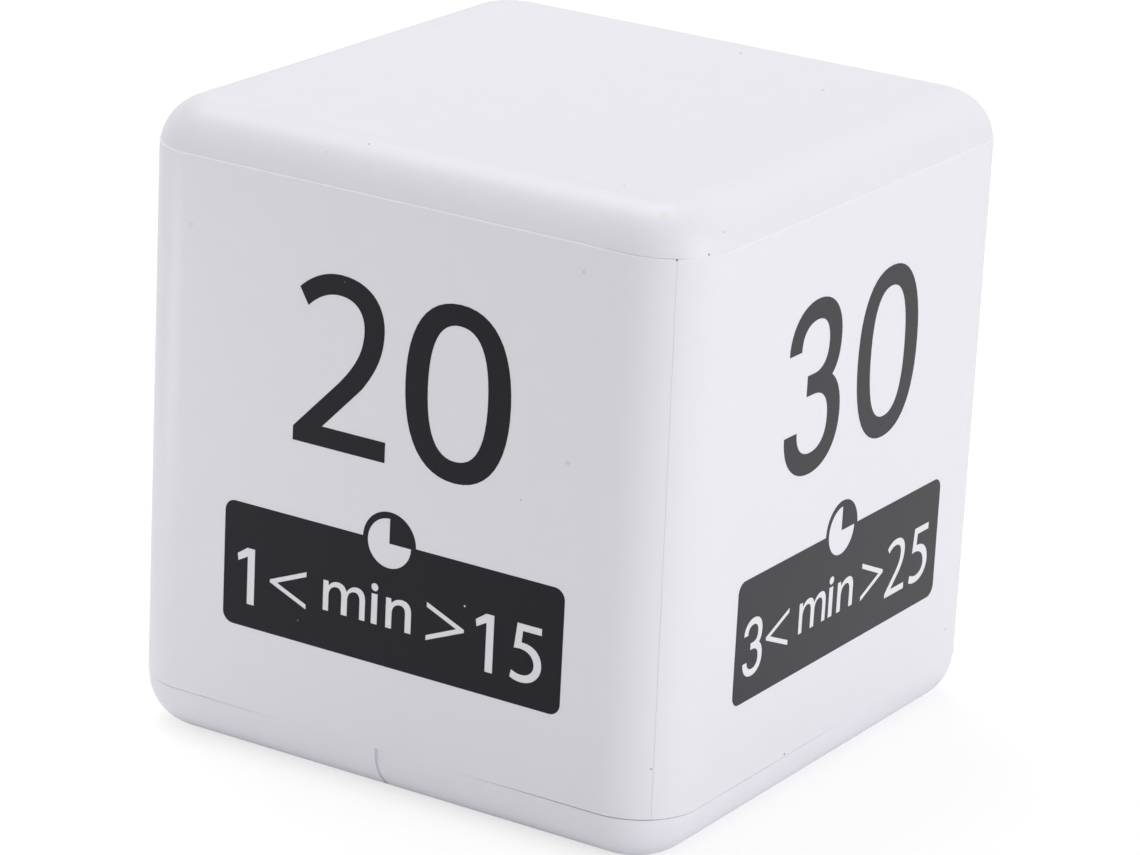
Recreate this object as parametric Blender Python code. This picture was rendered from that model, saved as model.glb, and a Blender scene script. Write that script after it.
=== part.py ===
# Cube timer: a rounded cube that stands on its base with its blank face up. Metres, +Z up.
# The origin is at the bottom centre. -Y is the "20" face, +X is the "30" face.
import math

import bpy
import bmesh
from mathutils import Matrix, Vector

# Outside
CUBE_WIDTH = 0.0620
CUBE_HEIGHT = 0.0635
CORNER_RADIUS = 0.0068
RIM_FILLET = 0.0050
LABEL_THICKNESS = 0.00025
LABEL_BOTTOM = 0.0054
LABEL_TOP_MARGIN = 0.00435
LABEL_SEAM_GAP = 0.0004
RIM_INSET = 0.0001
CLEARANCE = 0.0003
OVERRUN = 0.0020
WELD_DISTANCE = 0.000001
CORNER_STEPS = 7
FILLET_STEPS = 5

# Shells
WALL = 0.0020
CAVITY_FILLET = 0.0030
LIP_HEIGHT = 0.0018
LIP_THICKNESS = 0.0009
RIB_THICKNESS = 0.0010
RIB_DEPTH = 0.0014
RIB_LENGTH = 0.0300
HOOK_WIDTH = 0.0070
HOOK_THICKNESS = 0.0012
HOOK_DEPTH = 0.0046
HOOK_BARB = 0.0008
HOOK_BARB_HEIGHT = 0.0014
HOOK_SPACING = 0.0300
HOOK_ROOM = 0.00115

# Battery door and the compartment above it
DOOR_EDGE = -0.00045
DOOR_WALL = 0.0020
DOOR_CAVITY_FILLET = 0.0015
DOOR_TONGUE_MARGIN = 0.00175
DOOR_TONGUE_HEIGHT = 0.0010
DOOR_TONGUE_DEPTH = 0.0012
RAIL_HEIGHT = 0.0008
RAIL_DEPTH = 0.0008
RAIL_BOTTOM = 0.0026
TAB_WIDTH = 0.0060
TAB_REACH = 0.0022
TAB_THICKNESS = 0.0008
TAB_ROOT = 0.0030
TAB_SPACING = 0.0300
TAB_SILL = 0.0001
DOOR_RIB_HEIGHT = 0.0008
DOOR_RIB_WIDTH = 0.0010
DOOR_RIB_LENGTH = 0.0360
GRIP_COUNT = 4
GRIP_WIDTH = 0.0010
GRIP_PITCH = 0.0020
GRIP_LENGTH = 0.0160
GRIP_DEPTH = 0.0005
GRIP_MARGIN = 0.0080
PARTITION_THICKNESS = 0.0015
BAY_WALL = 0.0015
BAY_SLACK = 0.0015
BAY_END_ROOM = 0.00245
BAY_SIDE_ROOM = 0.0031
BAY_CEILING = 0.0015
SADDLE_THICKNESS = 0.0015
SADDLE_SPACING = 0.0240
SADDLE_DEPTH = 0.0040

# Cells, springs and contact plates
CELL_NUB_RADIUS = 0.0019
CELL_NUB_LENGTH = 0.0010
CELL_SHOULDER = 0.0005
CELL_STEP = 0.0011
CELL_FLOOR_HEIGHT = 0.00355
SPRING_WIRE = 0.0006
SPRING_LENGTH = 0.0052
SPRING_TURNS = 4
SPRING_POINTS = 9
SPRING_BASE_RADIUS = 0.0034
SPRING_TIP_RADIUS = 0.0024
PLATE_THICKNESS = 0.0004
PLATE_WIDTH = 0.0080
PLATE_HEIGHT = 0.0086
PLATE_CORNER = 0.0012
PLATE_TAB_WIDTH = 0.0024
PLATE_TAB_REACH = 0.0016

# Case screws and their bosses
CASE_SCREW_RADIUS = 0.0013
CASE_SCREW_HEAD_RADIUS = 0.0025
CASE_SCREW_HEAD_HEIGHT = 0.0018
CASE_SCREW_LENGTH = 0.0180
CASE_SCREW_INSET = 0.0078
CASE_BOSS_RADIUS = 0.0042
CASE_SEAT_HEIGHT = 0.0100
CAP_BOSS_RADIUS = 0.0032
SCREW_POINT = 0.0012
DRIVE_WIDTH = 0.0007
DRIVE_LENGTH = 0.0028
DRIVE_DEPTH = 0.0009

# Board
BOARD_THICKNESS = 0.0012
BOARD_HEIGHT = 0.0060
BOARD_MARGIN = 0.0009
BOARD_LEFT_MARGIN = 0.0005
BOARD_NOTCH_MARGIN = 0.0006
BOARD_POST_RADIUS = 0.0024
BOARD_SCREW_RADIUS = 0.0010
BOARD_SCREW_HEAD_RADIUS = 0.0019
BOARD_SCREW_HEAD_HEIGHT = 0.0012
BOARD_SCREW_LENGTH = 0.0044
PIN_RADIUS = 0.0003

# Tilt switches
TILT_RADIUS = 0.0024
TILT_BORE_RADIUS = 0.0020
TILT_LENGTH = 0.0086
TILT_END_WALL = 0.0006
TILT_BALL_RADIUS = 0.0017
TILT_PLUG_DEPTH = 0.0016
TILT_PLUG_LIP = 0.0006
TILT_PIN_REACH = 0.0012

# Slide switch
SWITCH_LENGTH = 0.0090
SWITCH_WIDTH = 0.0046
SWITCH_SHEET = 0.0004
SWITCH_BASE_THICKNESS = 0.0005
SWITCH_TRAVEL = 0.0020
SLIDER_LENGTH = 0.0044
SLIDER_WIDTH = 0.0028
SLIDER_HEIGHT = 0.0009
KNOB_LENGTH = 0.0024
KNOB_WIDTH = 0.0018
KNOB_RECESS = 0.0004
KNOB_BEVEL = 0.0003
WIPER_THICKNESS = 0.0003
WIPER_WIDTH = 0.0018
WIPER_LENGTH = 0.0036
SWITCH_WELL_MARGIN = 0.0012
SWITCH_WELL_DEPTH = 0.0009

# Sounder
DISC_SIDE_ROOM = 0.00285
DISC_THICKNESS = 0.0003
CERAMIC_MARGIN = 0.0030
CERAMIC_THICKNESS = 0.0003
SOUNDER_RING_WIDTH = 0.0012
SOUNDER_RING_THICKNESS = 0.0004
SOUNDER_WALL = 0.0012
SOUNDER_WALL_HEIGHT = 0.0018
SOUND_HOLE_RADIUS = 0.00075
SOUND_HOLE_CIRCLE = 0.0040
SOUND_HOLE_COUNT = 6

# Small parts on the board
CHIP_RADIUS = 0.0042
CHIP_HEIGHT = 0.0013
CRYSTAL_RADIUS = 0.0010
CRYSTAL_LENGTH = 0.0060
CAPACITOR_RADIUS = 0.0025
CAPACITOR_HEIGHT = 0.0070
CAPACITOR_GROOVE = 0.0003
COIL_RADIUS = 0.0030
COIL_WAIST_RADIUS = 0.0021
COIL_HEIGHT = 0.0060
COIL_FLANGE = 0.0009
TRANSISTOR_RADIUS = 0.0022
TRANSISTOR_HEIGHT = 0.0046
RESISTOR_LENGTH = 0.0020
RESISTOR_WIDTH = 0.0012
RESISTOR_HEIGHT = 0.0006
RESISTOR_PITCH = 0.0024

# Wires
WIRE_RADIUS = 0.0005
WIRE_RISE = 0.0016
WIRE_STEPS = 6

# Places on the board, as shares of its half sides, with a turn in degrees
TILT_PLACE_SHARES = ((-0.12, -0.27, 0), (-0.12, -0.50, 180), (0.62, 0.06, 90), (0.10, 0.06, 270))
SCREW_PLACE_SHARES = ((-0.74, -0.89), (0.78, -0.36), (-0.74, 0.89))
CHIP_PLACE_SHARE = (-0.55, 0.10)
CRYSTAL_PLACE_SHARE = (-0.62, 0.44)
CAPACITOR_PLACE_SHARE = (-0.20, 0.81)
COIL_PLACE_SHARE = (0.62, 0.42)
TRANSISTOR_PLACE_SHARE = (0.05, 0.46)
RESISTOR_PLACE_SHARE = (-0.26, 0.63)
SWITCH_PLACE_SHARE = (-0.20, -0.70)
SOUNDER_PLACE_SHARE = (0.02, 0.34)
SOUNDER_LEAD_SHARES = ((-0.26, 0.52), (-0.85, 0.44))
POSITIVE_PAD_SHARE = (-0.80, -0.36)
NEGATIVE_PAD_SHARE = (-0.80, -0.62)

# Worked out from the values above
LABEL_HALF = CUBE_WIDTH / 2
RIM_HALF = LABEL_HALF - RIM_INSET
RIM_RADIUS = CORNER_RADIUS - RIM_INSET
WAIST_HALF = LABEL_HALF - LABEL_THICKNESS - CLEARANCE
WAIST_RADIUS = CORNER_RADIUS - LABEL_THICKNESS - CLEARANCE
CAVITY_HALF = WAIST_HALF - WALL
CAVITY_RADIUS = WAIST_RADIUS - WALL
LABEL_TOP = CUBE_HEIGHT - LABEL_TOP_MARGIN
LEDGE_LOW = LABEL_BOTTOM - CLEARANCE
LEDGE_HIGH = LABEL_TOP + CLEARANCE
FIXED_EDGE = DOOR_EDGE + CLEARANCE
PARTITION_LEFT = FIXED_EDGE + CLEARANCE
PARTITION_RIGHT = PARTITION_LEFT + PARTITION_THICKNESS
BAY_LEFT = -(CAVITY_HALF - BAY_SIDE_ROOM)
BAY_HALF = CAVITY_HALF - BAY_END_ROOM
CELL_RADIUS = (PARTITION_LEFT - BAY_LEFT - 3 * BAY_SLACK) / 4
CELL_LENGTH = 2 * BAY_HALF - SPRING_LENGTH - 2 * PLATE_THICKNESS - 5 * CLEARANCE
CELL_AXIS_HEIGHT = CELL_FLOOR_HEIGHT + CELL_RADIUS
CELL_X = (PARTITION_LEFT - BAY_SLACK - CELL_RADIUS, BAY_LEFT + BAY_SLACK + CELL_RADIUS)
BAY_TOP = CELL_AXIS_HEIGHT + CELL_RADIUS + BAY_SLACK / 2
CEILING_TOP = BAY_TOP + BAY_CEILING
PARTING_HEIGHT = CEILING_TOP + HOOK_ROOM + HOOK_DEPTH
RAIL_TOP = RAIL_BOTTOM + RAIL_HEIGHT
CASE_SCREW_PLACE = LABEL_HALF - CASE_SCREW_INSET
BOSS_TOP = PARTING_HEIGHT - OVERRUN
BOARD_TOP = BOARD_HEIGHT + BOARD_THICKNESS
BOARD_LOW_X = PARTITION_RIGHT + BOARD_LEFT_MARGIN
BOARD_HIGH_X = CAVITY_HALF - BOARD_MARGIN
BOARD_HALF_Y = CAVITY_HALF - BOARD_MARGIN
BOARD_HALF_X = (BOARD_HIGH_X - BOARD_LOW_X) / 2
BOARD_CENTRE_X = (BOARD_HIGH_X + BOARD_LOW_X) / 2
BOARD_NOTCH = CASE_SCREW_PLACE - CASE_BOSS_RADIUS - BOARD_NOTCH_MARGIN
PART_SEAT = BOARD_TOP + CLEARANCE
DISC_RADIUS = BOARD_HALF_X - DISC_SIDE_ROOM
CERAMIC_RADIUS = DISC_RADIUS - CERAMIC_MARGIN
SWITCH_LOW = WALL + CLEARANCE
SWITCH_HIGH = BOARD_HEIGHT - CLEARANCE
BALL_LOW = TILT_PLUG_DEPTH - TILT_LENGTH / 2 + TILT_BALL_RADIUS + CLEARANCE / 2
BALL_HIGH = TILT_LENGTH / 2 - TILT_END_WALL - TILT_BALL_RADIUS - CLEARANCE / 2
BALL_MIDDLE = (BALL_LOW + BALL_HIGH) / 2

FINISHES = {
    "shell_white": ((0.86, 0.86, 0.85), 0.38, 0.0),
    "label_print": ((0.84, 0.85, 0.87), 0.30, 0.0),
    "cell_jacket": ((0.06, 0.07, 0.08), 0.35, 0.3),
    "nickel": ((0.72, 0.71, 0.68), 0.28, 1.0),
    "brass": ((0.80, 0.62, 0.30), 0.32, 1.0),
    "ceramic": ((0.86, 0.82, 0.72), 0.60, 0.0),
    "board_green": ((0.03, 0.17, 0.08), 0.45, 0.0),
    "black_plastic": ((0.02, 0.02, 0.02), 0.45, 0.0),
    "foam_black": ((0.03, 0.03, 0.03), 0.95, 0.0),
    "red_wire": ((0.55, 0.03, 0.03), 0.45, 0.0),
    "black_wire": ((0.02, 0.02, 0.02), 0.45, 0.0),
    "ferrite": ((0.05, 0.05, 0.055), 0.60, 0.0),
}


def finish_of(name):
    """The material of that name, made when it is first asked for."""
    found = bpy.data.materials.get(name)
    if found:
        return found
    colour, roughness, metallic = FINISHES[name]
    found = bpy.data.materials.new(name)
    found.use_nodes = True
    shader = found.node_tree.nodes["Principled BSDF"]
    shader.inputs["Base Color"].default_value = (*colour, 1.0)
    shader.inputs["Roughness"].default_value = roughness
    shader.inputs["Metallic"].default_value = metallic
    found.diffuse_color = (*colour, 1.0)
    return found


def shade(mesh):
    mesh.shade_smooth()
    mesh.set_sharp_from_angle(angle=math.radians(32))


def piece(name, shape, finish=None):
    """An object that holds the shape, with its finish."""
    mesh = bpy.data.meshes.new(name)
    shape.to_mesh(mesh)
    shape.free()
    made = bpy.data.objects.new(name, mesh)
    bpy.context.scene.collection.objects.link(made)
    if finish:
        mesh.materials.append(finish_of(finish))
        shade(mesh)
    return made


def rest_on_axis(made, point):
    """Moves the object's origin to a point, with its shape left where it is."""
    made.data.transform(Matrix.Translation(-Vector(point)))
    made.location = point


def block(low, high):
    """A box between two corners."""
    shape = bmesh.new()
    bmesh.ops.create_cube(shape, size=1.0)
    size = Vector(high) - Vector(low)
    middle = (Vector(high) + Vector(low)) / 2
    bmesh.ops.scale(shape, vec=size, verts=shape.verts)
    bmesh.ops.translate(shape, vec=middle, verts=shape.verts)
    return shape


def round_edges(shape, width, steps, direction=None):
    """Rounds the shape's edges, all of them or those along one direction."""
    chosen = []
    for edge in shape.edges:
        run = (edge.verts[1].co - edge.verts[0].co).normalized()
        if direction is None or abs(run.dot(direction)) > math.cos(math.radians(5)):
            chosen.append(edge)
    bmesh.ops.bevel(
        shape, geom=chosen, offset=width, offset_type="OFFSET", segments=steps, profile=0.5,
        affect="EDGES", material=-1,
    )
    return shape


def turned(profile, steps=24):
    """A solid turned round Z, from its profile of (radius, height) points."""
    shape = bmesh.new()
    corners = [shape.verts.new((radius, 0, height)) for radius, height in profile]
    sides = [shape.edges.new(pair) for pair in zip(corners, corners[1:])]
    bmesh.ops.spin(
        shape, geom=corners + sides, cent=(0, 0, 0), axis=(0, 0, 1), angle=math.tau, steps=steps,
        use_merge=True,
    )
    bmesh.ops.remove_doubles(shape, verts=shape.verts, dist=WELD_DISTANCE)
    bmesh.ops.recalc_face_normals(shape, faces=shape.faces)
    return shape


def rod(radius, low, high, steps=24):
    return turned(((0, low), (radius, low), (radius, high), (0, high)), steps)


def placed(shape, point, turn=0.0, tilt_axis=None):
    """Lays the shape along an axis if one is given, turns it about Z, and moves it to its place."""
    if tilt_axis:
        shape.transform(Matrix.Rotation(math.pi / 2, 4, tilt_axis))
    shape.transform(Matrix.Rotation(turn, 4, "Z"))
    shape.transform(Matrix.Translation(point))
    return shape


def rounded_square(half, radius, height):
    """The corners of a square with round corners, counterclockwise, at one height."""
    points = []
    for quarter in range(4):
        start = quarter * math.pi / 2
        centre = Matrix.Rotation(start, 3, "Z") @ Vector((half - radius, half - radius, 0))
        for step in range(CORNER_STEPS + 1):
            angle = start + step * math.pi / 2 / CORNER_STEPS
            points.append(centre + Vector((radius * math.cos(angle), radius * math.sin(angle), height)))
    return points


def lofted(rings):
    """A closed solid through rings of points that lie one above the other."""
    shape = bmesh.new()
    levels = [[shape.verts.new(point) for point in ring] for ring in rings]
    for lower, upper in zip(levels, levels[1:]):
        for here in range(len(lower)):
            after = (here + 1) % len(lower)
            shape.faces.new((lower[here], lower[after], upper[after], upper[here]))
    shape.faces.new(reversed(levels[0]))
    shape.faces.new(levels[-1])
    bmesh.ops.recalc_face_normals(shape, faces=shape.faces)
    return shape


def fillet_rings(half, radius, fillet, end, direction, start=0.0):
    """Rings round a rim fillet, from the side wall to the flat face at the height called end."""
    rings = []
    for step in range(FILLET_STEPS + 1):
        angle = start + step * (math.pi / 2 - start) / FILLET_STEPS
        inset = fillet * (1 - math.cos(angle))
        height = end - direction * fillet * (1 - math.sin(angle))
        rings.append(rounded_square(half - inset, radius - inset, height))
    return rings


def merge_doubles(mesh):
    """Joins corners that a cut or a join left on the same spot."""
    shape = bmesh.new()
    shape.from_mesh(mesh)
    bmesh.ops.remove_doubles(shape, verts=shape.verts, dist=WELD_DISTANCE)
    bmesh.ops.dissolve_degenerate(shape, edges=shape.edges, dist=WELD_DISTANCE)
    shape.to_mesh(mesh)
    shape.free()


def combined(body, tools, operation):
    """Joins the tools to the body, or cuts them out of it, one after the other."""
    for tool in tools:
        tool.hide_render = True
        tool.display_type = "WIRE"
        step = body.modifiers.new(operation.lower(), "BOOLEAN")
        step.operation = operation
        step.solver = "EXACT"
        step.object = tool
    bpy.context.view_layer.update()
    worked = body.evaluated_get(bpy.context.evaluated_depsgraph_get())
    shaped = bpy.data.meshes.new_from_object(worked)
    body.modifiers.clear()
    plain = body.data
    body.data = shaped
    bpy.data.meshes.remove(plain)
    shaped.name = body.name
    merge_doubles(shaped)
    for tool in tools:
        bpy.data.objects.remove(tool)
    shade(shaped)
    return body


def joined(body, *shapes):
    return combined(body, [piece("join", shape) for shape in shapes], "UNION")


def cut(body, *shapes):
    return combined(body, [piece("cutter", shape) for shape in shapes], "DIFFERENCE")


def board_point(shares, height):
    """A place on the board from its shares of the board's half sides."""
    return Vector((BOARD_CENTRE_X + shares[0] * BOARD_HALF_X, shares[1] * BOARD_HALF_Y, height))


def wire(name, points, radius, finish, resolution=2):
    """A round wire along points, with closed ends."""
    curve = bpy.data.curves.new(name, "CURVE")
    curve.dimensions = "3D"
    curve.bevel_depth = radius
    curve.bevel_resolution = resolution
    curve.use_fill_caps = True
    line = curve.splines.new("POLY")
    line.points.add(len(points) - 1)
    for spot, point in zip(line.points, points):
        spot.co = (*point, 1.0)
    curve.materials.append(finish_of(finish))
    made = bpy.data.objects.new(name, curve)
    bpy.context.scene.collection.objects.link(made)
    return made


def smooth_route(marks, steps=WIRE_STEPS):
    """Points along a smooth curve through the marks of a wire's route."""
    ends = [2 * marks[0] - marks[1], *marks, 2 * marks[-1] - marks[-2]]
    points = []
    for before, start, end, after in zip(ends, ends[1:], ends[2:], ends[3:]):
        for step in range(steps):
            share = step / steps
            points.append(
                start
                + (end - before) * share / 2
                + (before * 2 - start * 5 + end * 4 - after) * share ** 2 / 2
                + (start * 3 - before - end * 3 + after) * share ** 3 / 2
            )
    return points + [marks[-1]]


def mirrored(places):
    """Each (x, y) place and its twin across the XZ plane."""
    return [(x, side * y) for x, y in places for side in (-1, 1)]


CASE_PLACES = mirrored([(CASE_SCREW_PLACE, CASE_SCREW_PLACE)])
POST_PLACES = [board_point(shares, 0) for shares in SCREW_PLACE_SHARES]
SWITCH_PLACE = board_point(SWITCH_PLACE_SHARE, 0)
SOUNDER_PLACE = board_point(SOUNDER_PLACE_SHARE, 0)


def tab_block(low_x, high_x, low_z, high_z, margin, side):
    """A block as wide as a door tab, with a margin, at one of the two tabs' places."""
    middle = side * TAB_SPACING / 2
    half = TAB_WIDTH / 2 + margin
    return block((low_x, middle - half, low_z), (high_x, middle + half, high_z))


def bay_shapes():
    """The partition, the rails for the door and the saddles over the cells."""
    straight = -(RIM_HALF - RIM_RADIUS)
    inside_wall = CAVITY_HALF + WALL / 2
    inside_partition = PARTITION_LEFT + PARTITION_THICKNESS / 2
    foot_half = CAVITY_HALF - CAVITY_FILLET / 2
    foot_inset = PARTITION_THICKNESS / 4
    partition_top = BAY_TOP + BAY_CEILING * 2 / 3
    shapes = [
        block((PARTITION_LEFT, -inside_wall, RAIL_BOTTOM), (PARTITION_RIGHT, inside_wall, partition_top)),
        block((PARTITION_LEFT + foot_inset, -foot_half, WALL / 2),
              (PARTITION_RIGHT - foot_inset, foot_half, RAIL_TOP)),
    ]
    saddle_left = BAY_LEFT - BAY_WALL / 2
    saddle_low, saddle_high = BAY_TOP - SADDLE_DEPTH, BAY_TOP + BAY_CEILING / 3
    for side in (-1, 1):
        low, high = sorted((side * (BAY_HALF + BAY_WALL / 3), side * (BAY_HALF + BAY_WALL + RAIL_DEPTH)))
        shapes.append(block((straight, low, RAIL_BOTTOM), (inside_partition, high, RAIL_TOP)))
        low, high = sorted((side * (BAY_HALF + BAY_WALL / 2), side * (BAY_HALF + BAY_WALL * 3 / 4)))
        foot_low, foot_high = RAIL_TOP - RAIL_HEIGHT / 2, RAIL_TOP + 2 * RAIL_HEIGHT
        shapes.append(block((straight + BAY_WALL, low, foot_low), (inside_partition, high, foot_high)))
        middle = side * SADDLE_SPACING / 2
        low, high = middle - SADDLE_THICKNESS / 2, middle + SADDLE_THICKNESS / 2
        shapes.append(block((saddle_left, low, saddle_low), (inside_partition, high, saddle_high)))
    return shapes


def bay_walls():
    """The three outer walls of the battery compartment, open below and above."""
    outer = BAY_HALF + BAY_WALL
    low, high = RAIL_TOP + CLEARANCE, BAY_TOP + BAY_CEILING / 2
    inside_partition = PARTITION_LEFT + PARTITION_THICKNESS / 2
    walls = piece("bay_walls", block((BAY_LEFT - BAY_WALL, -outer, low), (inside_partition, outer, high)))
    room = block((BAY_LEFT, -BAY_HALF, low - OVERRUN), (PARTITION_RIGHT, BAY_HALF, high + OVERRUN))
    return cut(walls, room)


def bay_ceiling():
    """The plate over the cells, from the left wall to just past the partition."""
    inside = (CAVITY_HALF + WALL / 2, CAVITY_RADIUS + WALL / 2)
    plate = lofted([rounded_square(*inside, BAY_TOP), rounded_square(*inside, CEILING_TOP)])
    reach = LABEL_HALF + OVERRUN
    past_partition = PARTITION_RIGHT + CLEARANCE
    return cut(piece("bay_ceiling", plate), block((past_partition, -reach, 0), (reach, reach, CUBE_HEIGHT)))


def lower_shell():
    half, radius = CAVITY_HALF + LIP_THICKNESS, CAVITY_RADIUS + LIP_THICKNESS
    rings = fillet_rings(RIM_HALF, RIM_RADIUS, RIM_FILLET, 0, -1)[::-1]
    rings.append(rounded_square(RIM_HALF, RIM_RADIUS, LEDGE_LOW))
    rings.append(rounded_square(WAIST_HALF, WAIST_RADIUS, LEDGE_LOW))
    rings.append(rounded_square(WAIST_HALF, WAIST_RADIUS, PARTING_HEIGHT))
    rings.append(rounded_square(half, radius, PARTING_HEIGHT))
    rings.append(rounded_square(half, radius, PARTING_HEIGHT + LIP_HEIGHT))
    body = piece("lower_shell", lofted(rings), "shell_white")
    hollow = fillet_rings(CAVITY_HALF, CAVITY_RADIUS, CAVITY_FILLET, WALL, -1)[::-1]
    hollow.append(rounded_square(CAVITY_HALF, CAVITY_RADIUS, PARTING_HEIGHT + LIP_HEIGHT + OVERRUN))
    reach = LABEL_HALF + OVERRUN
    cut(body, lofted(hollow), block((-reach, -reach, -OVERRUN), (FIXED_EDGE, reach, LABEL_BOTTOM)))

    joined(body, *bay_shapes())
    combined(body, [bay_walls(), bay_ceiling()], "UNION")
    past_saddles = SADDLE_SPACING / 2 + SADDLE_THICKNESS
    cells = []
    for x in CELL_X:
        bore = rod(CELL_RADIUS + CLEARANCE, -past_saddles, past_saddles)
        cells.append(placed(bore, (x, 0, CELL_AXIS_HEIGHT), 0, "X"))
    cut(body, *cells)

    posts = [placed(rod(CASE_BOSS_RADIUS, WALL / 2, BOSS_TOP), (*place, 0)) for place in CASE_PLACES]
    for place in POST_PLACES:
        posts.append(placed(rod(BOARD_POST_RADIUS, WALL / 2, BOARD_HEIGHT - CLEARANCE, 16), place))
    wall_radius = DISC_RADIUS + CLEARANCE + SOUNDER_WALL
    well = turned(
        (
            (wall_radius, WALL / 2), (wall_radius, WALL + SOUNDER_WALL_HEIGHT),
            (DISC_RADIUS + CLEARANCE, WALL + SOUNDER_WALL_HEIGHT), (DISC_RADIUS + CLEARANCE, WALL / 2),
            (wall_radius, WALL / 2),
        ),
        32,
    )
    posts.append(placed(well, SOUNDER_PLACE))
    joined(body, *posts)

    holes = []
    for place in CASE_PLACES:
        head_hole = rod(CASE_SCREW_HEAD_RADIUS + CLEARANCE, -OVERRUN, CASE_SEAT_HEIGHT)
        shank_low, shank_high = CASE_SEAT_HEIGHT - OVERRUN, BOSS_TOP + OVERRUN
        shank_hole = rod(CASE_SCREW_RADIUS + CLEARANCE, shank_low, shank_high, 16)
        holes += [placed(head_hole, (*place, 0)), placed(shank_hole, (*place, 0))]
    for place in POST_PLACES:
        bottom = BOARD_TOP - BOARD_SCREW_LENGTH
        holes.append(placed(rod(BOARD_SCREW_RADIUS + CLEARANCE, bottom, BOARD_TOP, 20), place))
    for place in sound_hole_places():
        holes.append(placed(rod(SOUND_HOLE_RADIUS, -OVERRUN, WALL + OVERRUN, 12), place))
    slot_x = KNOB_WIDTH / 2 + CLEARANCE
    slot_y = (KNOB_LENGTH + SWITCH_TRAVEL) / 2 + CLEARANCE
    slot = block((-slot_x, -slot_y, -OVERRUN), (slot_x, slot_y, WALL + OVERRUN))
    well_x, well_y = slot_x + SWITCH_WELL_MARGIN, slot_y + SWITCH_WELL_MARGIN
    recess = block((-well_x, -well_y, -OVERRUN), (well_x, well_y, SWITCH_WELL_DEPTH))
    round_edges(recess, SWITCH_WELL_MARGIN, 3, Vector((0, 0, 1)))
    holes += [placed(slot, SWITCH_PLACE), placed(recess, SWITCH_PLACE)]
    for side in (-1, 1):
        holes.append(
            tab_block(PARTITION_LEFT - OVERRUN, PARTITION_RIGHT + OVERRUN, WALL + TAB_SILL,
                      DOOR_WALL + TAB_THICKNESS + 2 * CLEARANCE, CLEARANCE, side)
        )
        middle = side * HOOK_SPACING / 2
        half_width = HOOK_WIDTH / 2 + CLEARANCE
        bottom = PARTING_HEIGHT - HOOK_DEPTH
        holes.append(
            block((-(CAVITY_HALF + HOOK_BARB), middle - half_width, bottom - CLEARANCE),
                  (-CAVITY_HALF + OVERRUN, middle + half_width, bottom + HOOK_BARB_HEIGHT + CLEARANCE))
        )
    for place in (tab_place(CELL_X[1]), tab_place(CELL_X[0])):
        slot_x, slot_y = PLATE_TAB_WIDTH / 2 + CLEARANCE, PLATE_THICKNESS / 2 + CLEARANCE
        slot = block((-slot_x, -slot_y, BAY_TOP - CLEARANCE), (slot_x, slot_y, CEILING_TOP + OVERRUN))
        holes.append(placed(slot, place))
    cut(body, *holes)


def tab_place(x):
    """Where a contact plate's solder tab goes through the ceiling, at the front end of the bay."""
    return Vector((x, -(BAY_HALF - CLEARANCE - PLATE_THICKNESS / 2), 0))


def sound_hole_places():
    places = [SOUNDER_PLACE.copy()]
    for index in range(SOUND_HOLE_COUNT):
        angle = index * math.tau / SOUND_HOLE_COUNT
        places.append(SOUNDER_PLACE + Vector((math.cos(angle), math.sin(angle), 0)) * SOUND_HOLE_CIRCLE)
    return places


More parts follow.
